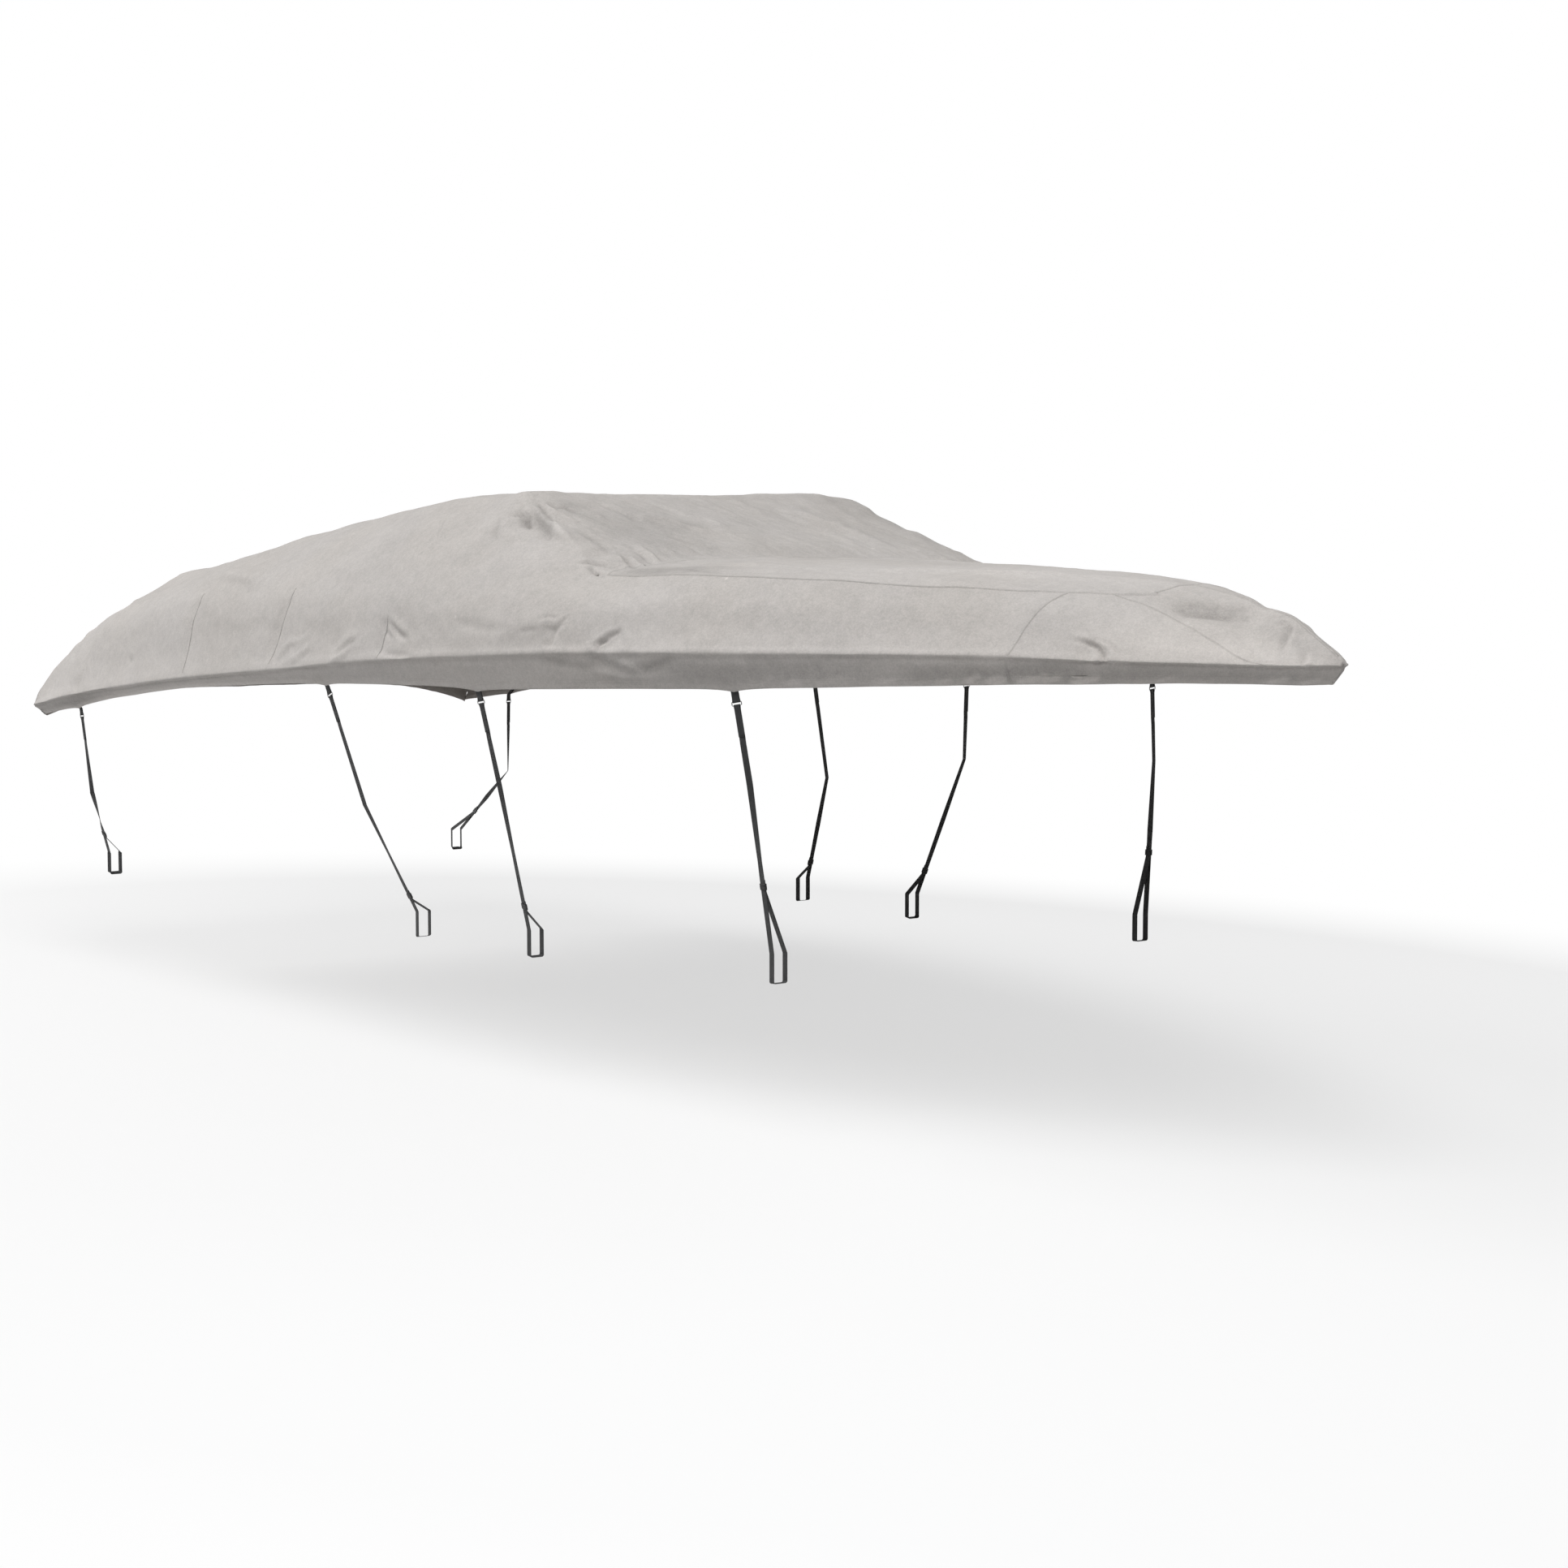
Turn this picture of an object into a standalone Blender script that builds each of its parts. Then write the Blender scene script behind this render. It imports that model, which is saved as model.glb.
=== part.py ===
"""A fitted boat cover, drawn tight, with a low front that rises in a slope to a higher middle.

The cloth is four sewn panels, each a thin shell: one long panel over the slope, the middle, the sides and the stern,
one over the front, and two bow sides that meet at the stem. Its hem tucks in under its widest edge. Four webbing
straps a side hang from the hem and end in a loop: each has a sewn tab, a wire ring and a slide buckle.

Sections are measured aft from the bow tip and up from the ground; +X is the bow, +Y is port, +Z is up. The origin
is under the cloth at the middle of its top.
"""

import math

import bmesh
import bpy
import numpy as np
from mathutils import Matrix, Vector

# Sizes in metres.
LENGTH = 6.80  # bow tip to the stern's edge
CLOTH = 0.0025  # thickness of the cloth
SEAM_GAP = 0.0004  # between two panels at a seam
LARGEST_CELL = 0.13
ORIGIN_AFT = 3.40  # where the origin is, aft of the bow tip

FOREDECK_FOOT = 2.45  # seam at the front slope's foot, aft of the bow tip
FOREDECK_TIP = 0.58  # front of the foredeck panel
BOW_SEAM = 0.77  # upright seam of the bow sides

WEB_WIDTH = 0.025
WEB = 0.0016  # thickness of the webbing
WEB_GAP = 0.0005  # between two plies, and between a ply and what it lies on
TAB_WIDTH = 0.030
TAB_BEND = 0.006  # how far below the hem it turns down
TAB_DROP = 0.034  # from there to the ring
TAB_SEWN = 0.035  # of the tab, inside the hem
TAB_GAP = 0.0008  # between the tab and the cloth
RING_WIRE = 0.0015  # radius
RING_WIDE = 0.019  # half the ring's width, to the wire's middle
RING_TALL = 0.012  # between the middles of its two bars
TAIL = 0.10  # of the strap, folded back and sewn below the ring
BEAM_CORNER = 0.008  # radius at which a strap turns at its loop's corners
BUCKLE_LONG = 0.020
BUCKLE_WALL = 0.0018
BUCKLE_PLAY = 0.0012  # round the webbing in it
STRAP_END = 0.012  # of the strap, beyond the buckle
STRAP_BEND = 0.012  # radius where a strap changes its way
TAIL_MARGIN = 0.02  # straight strap beyond the tail's end
TWIST_SHARE = 0.45  # of the way from the side to the loop, where it is twisted most
BUCKLE_LEAD = 0.035  # flat strap before the buckle
BUCKLE_ENTRY = 0.006  # from the buckle to where the strap turns into it

# One row for each section. The hem is given from the edge: how far in and how far down. The top is read halfway
# between the shoulder and the middle.
SECTION_COLUMNS = (
    "aft", "edge_y", "edge_z", "hem_in", "hem_drop", "haunch_y", "haunch_z", "deck_y", "deck_z", "top_z", "crown_z",
    "sharp")
SECTIONS = (
    (0.000, 0.000, 1.552, 0.040, 0.055, 0.000, 1.552, 0.000, 1.552, 1.552, 1.552, 0.0),
    (0.010, 0.022, 1.552, 0.040, 0.055, 0.016, 1.560, 0.008, 1.569, 1.571, 1.572, 0.0),
    (0.030, 0.052, 1.551, 0.040, 0.055, 0.038, 1.565, 0.016, 1.581, 1.585, 1.587, 0.0),
    (0.070, 0.094, 1.550, 0.040, 0.055, 0.066, 1.572, 0.026, 1.600, 1.607, 1.611, 0.0),
    (0.120, 0.136, 1.550, 0.040, 0.055, 0.094, 1.584, 0.034, 1.624, 1.636, 1.642, 0.0),
    (0.200, 0.196, 1.552, 0.042, 0.056, 0.134, 1.602, 0.044, 1.664, 1.683, 1.692, 0.0),
    (0.300, 0.270, 1.554, 0.044, 0.058, 0.184, 1.624, 0.052, 1.696, 1.710, 1.716, 0.0),
    (0.360, 0.314, 1.556, 0.045, 0.060, 0.216, 1.638, 0.060, 1.718, 1.731, 1.736, 0.1),
    (0.440, 0.372, 1.557, 0.045, 0.064, 0.256, 1.660, 0.076, 1.742, 1.752, 1.756, 0.2),
    (0.510, 0.420, 1.559, 0.045, 0.067, 0.294, 1.676, 0.104, 1.752, 1.765, 1.770, 0.3),
    (0.560, 0.454, 1.560, 0.045, 0.070, 0.322, 1.686, 0.146, 1.755, 1.773, 1.780, 0.4),
    (0.630, 0.502, 1.562, 0.045, 0.074, 0.366, 1.696, 0.214, 1.756, 1.780, 1.789, 0.5),
    (0.770, 0.592, 1.567, 0.045, 0.081, 0.464, 1.704, 0.338, 1.757, 1.788, 1.798, 0.6),
    (0.950, 0.694, 1.570, 0.045, 0.091, 0.578, 1.706, 0.474, 1.768, 1.800, 1.809, 0.6),
    (1.130, 0.782, 1.570, 0.045, 0.097, 0.680, 1.706, 0.590, 1.778, 1.811, 1.819, 0.6),
    (1.300, 0.854, 1.568, 0.045, 0.102, 0.766, 1.706, 0.674, 1.787, 1.821, 1.828, 0.6),
    (1.600, 0.960, 1.564, 0.045, 0.108, 0.884, 1.704, 0.792, 1.798, 1.831, 1.838, 0.6),
    (2.000, 1.060, 1.559, 0.045, 0.116, 0.996, 1.702, 0.876, 1.810, 1.846, 1.853, 0.6),
    (2.400, 1.127, 1.549, 0.045, 0.118, 1.076, 1.702, 0.905, 1.808, 1.861, 1.866, 0.6),
    (2.450, 1.134, 1.547, 0.045, 0.118, 1.084, 1.702, 0.904, 1.812, 1.865, 1.870, 0.7),
    (2.560, 1.148, 1.543, 0.045, 0.118, 1.098, 1.702, 0.880, 1.856, 1.905, 1.912, 0.8),
    (2.800, 1.170, 1.532, 0.045, 0.114, 1.118, 1.702, 0.828, 1.952, 1.982, 1.986, 0.8),
    (3.100, 1.195, 1.519, 0.045, 0.102, 1.134, 1.708, 0.764, 2.074, 2.086, 2.088, 0.8),
    (3.190, 1.199, 1.515, 0.045, 0.098, 1.136, 1.712, 0.748, 2.102, 2.107, 2.109, 0.7),
    (3.320, 1.204, 1.508, 0.045, 0.093, 1.136, 1.720, 0.744, 2.092, 2.104, 2.110, 0.5),
    (3.600, 1.215, 1.492, 0.045, 0.082, 1.134, 1.732, 0.745, 2.087, 2.103, 2.110, 0.3),
    (4.200, 1.220, 1.446, 0.045, 0.054, 1.118, 1.740, 0.752, 2.036, 2.057, 2.065, 0.3),
    (4.600, 1.220, 1.418, 0.045, 0.046, 1.112, 1.738, 0.756, 1.992, 2.014, 2.022, 0.3),
    (5.200, 1.212, 1.374, 0.045, 0.036, 1.098, 1.720, 0.762, 1.910, 1.932, 1.940, 0.3),
    (5.880, 1.192, 1.313, 0.045, 0.038, 1.072, 1.636, 0.765, 1.823, 1.842, 1.850, 0.4),
    (6.040, 1.188, 1.298, 0.045, 0.042, 1.066, 1.612, 0.765, 1.814, 1.832, 1.840, 0.5),
    (6.180, 1.184, 1.283, 0.045, 0.045, 1.064, 1.584, 0.765, 1.736, 1.766, 1.776, 0.3),
    (6.370, 1.180, 1.262, 0.045, 0.048, 1.062, 1.540, 0.765, 1.700, 1.727, 1.736, 0.3),
    (6.500, 1.176, 1.246, 0.045, 0.048, 1.062, 1.500, 0.800, 1.650, 1.682, 1.690, 0.3),
    (6.660, 1.168, 1.224, 0.045, 0.046, 1.068, 1.416, 0.850, 1.552, 1.588, 1.598, 0.3),
    (6.730, 1.163, 1.216, 0.045, 0.046, 1.080, 1.376, 0.890, 1.492, 1.530, 1.542, 0.3),
    (6.765, 1.160, 1.211, 0.045, 0.046, 1.104, 1.322, 0.950, 1.404, 1.444, 1.452, 0.2),
    (6.800, 1.155, 1.206, 0.045, 0.046, 1.118, 1.284, 0.960, 1.362, 1.402, 1.410, 0.2),
)

# Places across the cloth, as a share of each stretch of the section: 0 the crown, 1 the top, 2 the shoulder,
# 3 the haunch, 4 the widest edge, 5 the hem.
TOP, DECK, HAUNCH, EDGE, HEM = 1, 2, 3, 4, 5
ACROSS = (0, 0.6, 1.2, 1.7, 2, 2.25, 2.7, 3.1, 3.5, 3.9, 4, 4.5, 5)
TRANSOM_ROWS = 3  # edge line, middle of the skirt, hem
TRANSOM_CAMBER = 0.11  # how much higher the stern's edge is in the middle than at its corners

# Folds, a row each: side (-1 starboard, 1 port, 0 both), then where it starts and ends as (aft, across), how wide
# it is, and how far it stands out (a trough is negative).
FOLDS = (
    (0, (0.50, 2.70), (0.25, 2.05), 0.060, -0.014),  # hollow under the bow's hump
    (0, (0.67, 2.12), (0.38, 2.92), 0.030, -0.004),  # curved dart of the bow
    (0, (0.38, 2.92), (0.16, 4.00), 0.030, -0.004),
    (-1, (0.62, 3.66), (0.51, 4.10), 0.030, -0.008),
    (-1, (1.62, 1.66), (0.80, 0.60), 0.050, 0.007),  # along the foredeck
    (-1, (2.10, 3.50), (2.20, 4.02), 0.032, -0.010),
    (-1, (2.76, 3.52), (2.42, 3.28), 0.035, 0.007),
    (-1, (2.44, 3.40), (2.44, 3.92), 0.032, -0.007),
    (0, (2.66, 1.86), (2.42, 2.04), 0.045, -0.012),  # foot of the front slope's corner
    (-1, (3.08, 2.20), (2.82, 2.10), 0.040, -0.014),  # under the front slope's corner
    (1, (3.08, 2.15), (2.86, 2.12), 0.040, -0.010),
    (1, (3.07, 0.73), (2.52, 1.15), 0.040, 0.011),  # across the front slope
    (1, (3.03, 0.50), (2.52, 0.92), 0.035, -0.007),
    (-1, (2.92, 1.10), (2.78, 0.68), 0.035, 0.008),
    (-1, (3.56, 2.20), (3.48, 2.50), 0.035, 0.008),
    (0, (3.45, 3.30), (3.46, 3.96), 0.032, -0.008),  # sewn darts of the side
    (0, (4.27, 2.95), (4.30, 3.90), 0.032, -0.009),
    (0, (5.11, 2.95), (5.08, 3.90), 0.032, -0.008),
    (-1, (3.62, 3.56), (3.84, 4.06), 0.035, 0.010),  # draws down to a strap
    (-1, (5.14, 2.62), (4.58, 2.90), 0.045, 0.009),
    (-1, (6.23, 3.40), (6.28, 4.00), 0.035, -0.007),
    (1, (3.26, 0.60), (3.15, 1.82), 0.130, 0.013),  # the front slope's top edge is higher here
    (1, (3.06, 1.85), (2.86, 2.10), 0.090, -0.012),
    (1, (2.68, 1.95), (2.50, 1.85), 0.080, 0.010),
    (0, (5.78, 2.66), (6.12, 2.12), 0.110, -0.018),  # drawn in between the seats' corners
    (0, (6.20, 3.30), (6.56, 2.94), 0.110, -0.020),
)

# Straps, a row each: where the hem holds it, where it bends at the side, its loop (the outer face and the underside of
# what it would hold) and its buckle. It is twisted by turn_side degrees at the side's bend and by turn_middle below
# that, and lies flat again at its buckle.
STRAP_COLUMNS = (
    "name", "aft", "side_aft", "side_y", "side_z", "beam_aft", "beam_y", "beam_z", "buckle_z", "turn_side",
    "turn_middle")
STRAPS = (
    ("bow", 1.660, 1.635, 0.895, 1.150, 1.605, 0.830, 0.518, 0.827, 3, -4),
    ("fore", 2.890, 2.850, 1.070, 1.080, 2.935, 0.900, 0.458, 0.640, 8, -5),
    ("aft", 3.930, 3.760, 1.100, 0.950, 3.675, 0.930, 0.452, 0.606, 6, -8),
    ("stern", 6.340, 6.305, 1.090, 0.830, 6.500, 0.930, 0.440, 0.625, 26, -24),
)
BEAM_WIDE, BEAM_TALL = 0.050, 0.094
HEM_PULL, HEM_PULL_REACH = 0.012, 0.055  # how far a strap draws the hem down, and over what length

STARBOARD, PORT = -1, 1


def slopes(x, y):
    """The slopes of a smooth curve through the points that never overshoots them."""
    step, rise = np.diff(x), np.diff(y) / np.diff(x)
    slope = np.zeros(len(x))
    slope[0], slope[-1] = rise[0], rise[-1]
    for i in range(1, len(x) - 1):
        if rise[i - 1] * rise[i] > 0:
            before, after = 2 * step[i] + step[i - 1], step[i] + 2 * step[i - 1]
            slope[i] = (before + after) / (before / rise[i - 1] + after / rise[i])
    return slope


SECTION = {name: np.array([row[i] for row in SECTIONS]) for i, name in enumerate(SECTION_COLUMNS)}
SLOPES = {name: slopes(SECTION["aft"], values) for name, values in SECTION.items()}


def size_at(name, aft):
    """One column of the sections, read smoothly at a place between them."""
    x, y, slope = SECTION["aft"], SECTION[name], SLOPES[name]
    i = int(np.clip(np.searchsorted(x, aft, side="right") - 1, 0, len(x) - 2))
    step = x[i + 1] - x[i]
    t = (aft - x[i]) / step
    return (
        y[i] * (1 + 2 * t) * (1 - t) ** 2
        + slope[i] * step * t * (1 - t) ** 2
        + y[i + 1] * t * t * (3 - 2 * t)
        - slope[i + 1] * step * t * t * (1 - t)
    )


ORIGIN_UP = size_at("crown_z", ORIGIN_AFT) - CLOTH


def placed(aft, y, up):
    """A place given from the bow tip and the ground, in the part's own frame."""
    return Vector((ORIGIN_AFT - aft, y, up - ORIGIN_UP))


def unit(v):
    return v / max(float(np.linalg.norm(v)), 1e-9)


def outward(aft):
    """The way out of the widest edge in plan, as (forward, sideways)."""
    if aft <= 0:
        return np.array((1.0, 0.0))
    if aft >= LENGTH:
        return np.array((-1.0, 1.0))
    near = 0.004
    rise = (size_at("edge_y", min(aft + near, LENGTH)) - size_at("edge_y", max(aft - near, 0))) / (2 * near)
    return unit(np.array((max(rise, 0.0), 1.0)))


def section_knots(aft):
    """The section's knots from hem to crown, as (y, z), on one side."""
    at = {name: size_at(name, aft) for name in SECTION_COLUMNS}
    sideways = outward(aft)[1]
    return np.array((
        (at["edge_y"] - sideways * at["hem_in"], at["edge_z"] - at["hem_drop"]),
        (at["edge_y"], at["edge_z"]),
        (at["haunch_y"], at["haunch_z"]),
        (at["deck_y"], at["deck_z"]),
        (at["deck_y"] / 2, at["top_z"]),
        (0.0, at["crown_z"]),
    )), at["sharp"]


def base_point(aft, across):
    """A place on the cloth before its folds: aft of the bow tip, and across it as in ACROSS, starboard negative."""
    if aft > LENGTH:
        return transom_point((aft - LENGTH) / LARGEST_CELL, across)
    knots, sharp = section_knots(aft)
    v = HEM - abs(across)
    k = min(int(v), HEM - 1)
    t = v - k
    chords = np.diff(knots, axis=0)
    ways = [unit(c) for c in chords]
    haunch, deck, top = (unit(ways[i] + ways[i + 1]) for i in (1, 2, 3))
    starts = (ways[0], ways[1], haunch, unit(deck * (1 - sharp) + ways[3] * sharp), top)
    ends = (ways[0], haunch, unit(deck * (1 - sharp) + ways[2] * sharp), top, np.array((-1.0, 0.0)))
    size = float(np.linalg.norm(chords[k]))
    y, z = (
        knots[k] * (1 + 2 * t) * (1 - t) ** 2
        + starts[k] * size * t * (1 - t) ** 2
        + knots[k + 1] * t * t * (3 - 2 * t)
        - ends[k] * size * t * t * (1 - t)
    )
    tuck = outward(aft)[0] * size_at("hem_in", aft) * max(1 - v, 0)
    return placed(aft + tuck, math.copysign(y, across), z)


def transom_point(row, across):
    """A place on the stern's drop: rows 0 to 1 go from the last section to the edge line, and the rest to the hem."""
    top = base_point(LENGTH, across)
    edge = base_point(LENGTH, math.copysign(EDGE, across))
    hem = base_point(LENGTH, math.copysign(HEM, across))
    camber = TRANSOM_CAMBER * (1 - (top.y / edge.y) ** 4)
    if row <= 1:
        return Vector((top.x, top.y, top.z + (edge.z + camber - top.z) * row))
    t = (row - 1) / (TRANSOM_ROWS - 1)
    return Vector((
        top.x + (hem.x - edge.x) * t,
        top.y * (1 + (hem.y / edge.y - 1) * t),
        edge.z + camber + (hem.z - edge.z) * t,
    ))


def fold_lines():
    """Each fold as (points along it, width, height)."""
    lines = []
    for side, start, end, width, height in FOLDS:
        for each in (STARBOARD, PORT) if side == 0 else (side,):
            path = [
                base_point(start[0] + (end[0] - start[0]) * t, each * (start[1] + (end[1] - start[1]) * t))
                for t in np.linspace(0, 1, 7)
            ]
            lines.append((np.array(path), width, height))
    return lines


def from_line(point, path):
    """How far a point is from a line of points, and how far along the line it is, from 0 to 1."""
    a, b = path[:-1], path[1:]
    d = b - a
    t = np.clip(((point - a) * d).sum(1) / (d * d).sum(1), 0, 1)
    gaps = np.linalg.norm(point - a - t[:, None] * d, axis=1)
    i = int(gaps.argmin())
    return float(gaps[i]), (i + float(t[i])) / len(a)


def fold_height(point, lines):
    """How far the folds move this place out."""
    total = 0.0
    for path, width, height in lines:
        gap, along = from_line(point, path)
        if gap < 3 * width:
            ends = min(1.0, 4 * along, 4 * (1 - along))
            total += height * math.exp(-((gap / width) ** 2)) * ends * ends * (3 - 2 * ends)
    return total


def hem_pull(aft, across):
    """How far the straps draw the cloth here, down along its own slope."""
    share = max(abs(across) - EDGE, 0)
    if share == 0 or aft > LENGTH:
        return Vector()
    pulls = [math.exp(-abs(aft - row[1]) / HEM_PULL_REACH) for row in STRAPS]
    slope = base_point(aft, math.copysign(HEM, across)) - base_point(aft, math.copysign(EDGE, across))
    return slope.normalized() * HEM_PULL * share * share * max(pulls)


def cover_point(aft, across, lines):
    """A place on the cloth's outer face."""
    point = base_point(aft, across)
    step = 0.004
    along = base_point(aft + step, across) - base_point(max(aft - step, 0.0), across)
    over = base_point(aft, across - step) - base_point(aft, across + step)
    normal = along.cross(over).normalized()
    return point + normal * fold_height(np.array(point), lines) + hem_pull(aft, across)


def stops():
    """Where the cloth's grid has a line, aft of the bow tip."""
    wanted = sorted({*SECTION["aft"], FOREDECK_FOOT, FOREDECK_TIP, BOW_SEAM, *(row[1] for row in STRAPS)})
    lines = [wanted[0]]
    for stop in wanted[1:]:
        cells = math.ceil((stop - lines[-1]) / LARGEST_CELL - 1e-6)
        lines += [lines[-1] + (stop - lines[-1]) * (i + 1) / cells for i in range(cells)]
    return lines + [LENGTH + LARGEST_CELL * (i + 1) for i in range(TRANSOM_ROWS)]


def flat_grid():
    """The cloth laid out flat: x is aft, y is across."""
    aft, across = stops(), [-s for s in ACROSS[:0:-1]] + list(ACROSS)
    bm = bmesh.new()
    made = bmesh.ops.create_grid(bm, x_segments=len(aft) - 1, y_segments=len(across) - 1, size=0.5)
    for vert in made["verts"]:
        i = round((vert.co.x + 0.5) * (len(aft) - 1))
        j = round((vert.co.y + 0.5) * (len(across) - 1))
        vert.co = (aft[i], across[j], 0)
    beyond = [f for f in bm.faces if f.calc_center_median().x > LENGTH and abs(f.calc_center_median().y) > EDGE]
    bmesh.ops.delete(bm, geom=beyond, context="FACES")
    return bm


def refine_near_folds(bm, lines):
    """Splits the cells that a fold crosses, so that it shows."""
    narrow = [line for line in lines if line[1] < LARGEST_CELL / 2]

    def crossed(face):
        middle = face.calc_center_median()
        place = np.array(base_point(middle.x, middle.y))
        return any(from_line(place, path)[0] < 1.1 * width + 0.02 for path, width, _ in narrow)

    edges = {edge for face in bm.faces if crossed(face) for edge in face.edges}
    bmesh.ops.subdivide_edges(bm, edges=list(edges), cuts=1, use_grid_fill=True)


def panel_of(middle):
    """The name of the panel that a cell belongs to."""
    aft, across = middle.x, middle.y
    if FOREDECK_TIP < aft < FOREDECK_FOOT and abs(across) < DECK:
        return "foredeck_panel"
    if aft < BOW_SEAM:
        return "bow_side_port" if across > 0 else "bow_side_starboard"
    return "main_panel"


def cloth_panels(material):
    """The cloth's panels, each a closed shell, with a narrow gap at every seam."""
    lines = fold_lines()
    bm = flat_grid()
    refine_near_folds(bm, lines)
    names = bm.faces.layers.string.new("panel")
    for face in bm.faces:
        face[names] = panel_of(face.calc_center_median()).encode()
    for vert in bm.verts:
        vert.co = cover_point(vert.co.x, vert.co.y, lines)
    bmesh.ops.remove_doubles(bm, verts=bm.verts, dist=1e-6)
    bmesh.ops.recalc_face_normals(bm, faces=bm.faces)
    bm.normal_update()
    inward, on_seam = bm.verts.layers.float_vector.new("inward"), bm.verts.layers.int.new("on_seam")
    names = bm.faces.layers.string["panel"]
    for vert in bm.verts:
        vert[inward] = vert.normal * -CLOTH
        vert[on_seam] = len({face[names] for face in vert.link_faces}) > 1
    for name in sorted({face[names] for face in bm.faces}):
        panel = bm.copy()
        label = panel.faces.layers.string["panel"]
        others = [face for face in panel.faces if face[label] != name]
        bmesh.ops.delete(panel, geom=others, context="FACES")
        draw_back_from_seams(panel)
        thicken(panel)
        add_object(name.decode(), panel, material)
        panel.free()
    bm.free()


def draw_back_from_seams(panel):
    """Moves the points on a seam half a gap towards the panel's own middle."""
    on_seam = panel.verts.layers.int["on_seam"]
    moved = {}
    for vert in panel.verts:
        if vert[on_seam] and vert.is_boundary:
            inner = sum((face.calc_center_median() for face in vert.link_faces), Vector()) / len(vert.link_faces)
            along = sum(
                ((e.other_vert(vert).co - vert.co).normalized() for e in vert.link_edges if e.is_boundary), Vector())
            way = (inner - vert.co).normalized()
            if along.length < 0.5:
                line = next(e.other_vert(vert).co - vert.co for e in vert.link_edges if e.is_boundary).normalized()
                way = (way - line * way.dot(line)).normalized()
            moved[vert] = vert.co + way * SEAM_GAP / 2
    for vert, place in moved.items():
        vert.co = place


def thicken(panel):
    """Makes the open panel a closed shell, inwards from its outer face."""
    inward = panel.verts.layers.float_vector["inward"]
    made = bmesh.ops.extrude_face_region(panel, geom=panel.faces[:], use_keep_orig=True)
    for item in made["geom"]:
        if isinstance(item, bmesh.types.BMVert):
            item.co += item[inward]
    bmesh.ops.recalc_face_normals(panel, faces=panel.faces)


def add_object(name, bm, material):
    mesh = bpy.data.meshes.new(name)
    bm.to_mesh(mesh)
    mesh.materials.append(material)
    obj = bpy.data.objects.new(name, mesh)
    parts.objects.link(obj)
    return obj


def guide(row, side):
    """A strap's middle line from inside the hem to its loop, as rows of (place, way across, way out, how far down)."""
    strap = dict(zip(STRAP_COLUMNS, row))
    aft, hem = strap["aft"], side * HEM
    along = (base_point(aft - 0.01, hem) - base_point(aft + 0.01, hem)).normalized()
    slope = (base_point(aft, hem) - base_point(aft, side * EDGE)).normalized()
    inward = slope.cross(along) * side
    middle = base_point(aft, hem) + hem_pull(aft, hem) + inward * (CLOTH + TAB_GAP + WEB + WEB_GAP / 2)
    below = middle + slope * TAB_BEND
    leaves = placed(strap["side_aft"], side * strap["side_y"], strap["side_z"])
    down = (leaves - below).normalized()
    beam = placed(strap["beam_aft"], side * (strap["beam_y"] + WEB_GAP + WEB / 2), strap["beam_z"] + BEAM_TALL)
    under = (beam - leaves).normalized()
    buckle = leaves + under * (strap["side_z"] - strap["buckle_z"]) / -under.z
    forward = Vector((1, 0, 0))
    knots = (
        (middle - slope * TAB_SEWN, along, 0),
        (below, along, 0),
        (below + down * (TAB_DROP + RING_TALL + TAIL + TAIL_MARGIN), along, 0),
        (leaves, along, strap["turn_side"]),
        (leaves.lerp(beam, TWIST_SHARE), forward, strap["turn_middle"]),
        (buckle - under * BUCKLE_LEAD, forward, 0),
        (beam, forward, 0),
    )
    path = bent([place for place, _, _ in knots], STRAP_BEND)
    rows, far, k = [], 0.0, 0
    for i, place in enumerate(path):
        far += (place - path[i - 1]).length if i else 0.0
        way = (path[min(i + 1, len(path) - 1)] - path[max(i - 1, 0)]).normalized()
        while k < len(knots) - 2 and (place - knots[k + 1][0]).dot(way) > 0:
            k += 1
        (start, wide, turn), (end, next_wide, next_turn) = knots[k], knots[k + 1]
        t = min(max((place - start).dot(end - start) / (end - start).length_squared, 0), 1)
        wide = wide.lerp(next_wide, t)
        wide = (wide - way * wide.dot(way)).normalized()
        turn = math.radians(turn + (next_turn - turn) * t) * side
        wide = wide * math.cos(turn) + way.cross(wide) * math.sin(turn)
        rows.append((place, wide, wide.cross(way) * side, far))
    return rows, rows[-1][3] - (beam - buckle).length


def bent(places, radius):
    """A path through the places, with its corners rounded."""
    path = [places[0]]
    for before, corner, after in zip(places, places[1:], places[2:]):
        into, out = (corner - before).normalized(), (after - corner).normalized()
        turn = into.angle(out)
        if turn < 0.01:
            path.append(corner)
            continue
        cut = min(radius * math.tan(turn / 2), 0.45 * (corner - before).length, 0.45 * (after - corner).length)
        steps = max(2, math.ceil(turn / math.radians(35)))
        for i in range(steps + 1):
            t = i / steps
            path.append(
                (corner - into * cut) * (1 - t) ** 2 + corner * 2 * t * (1 - t) + (corner + out * cut) * t * t)
    return path + [places[-1]]


def beside(line, out, down):
    """A place beside a guide, and the ways across and out there."""
    k = max(i for i in range(len(line) - 1) if line[i][3] <= down or i == 0)
    t = (down - line[k][3]) / (line[k + 1][3] - line[k][3])
    place, wide, outwards = (a.lerp(b, t) for a, b in zip(line[k][:3], line[k + 1][:3]))
    return place + outwards * out, wide.normalized(), outwards.normalized()


def laid(line, corners):
    """A path beside a guide, through corners given as (out, down)."""
    path = []
    for (out, down), (next_out, next_down) in zip(corners, corners[1:]):
        low, high = sorted((down, next_down))
        between = [row[3] for row in line if low + 1e-4 < row[3] < high - 1e-4]
        for far in (down, *(between if next_down > down else between[::-1])):
            share = (far - down) / (next_down - down) if far != down else 0.0
            path.append(beside(line, out + (next_out - out) * share, far)[:2])
    return path + [beside(line, *corners[-1])[:2]]


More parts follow.
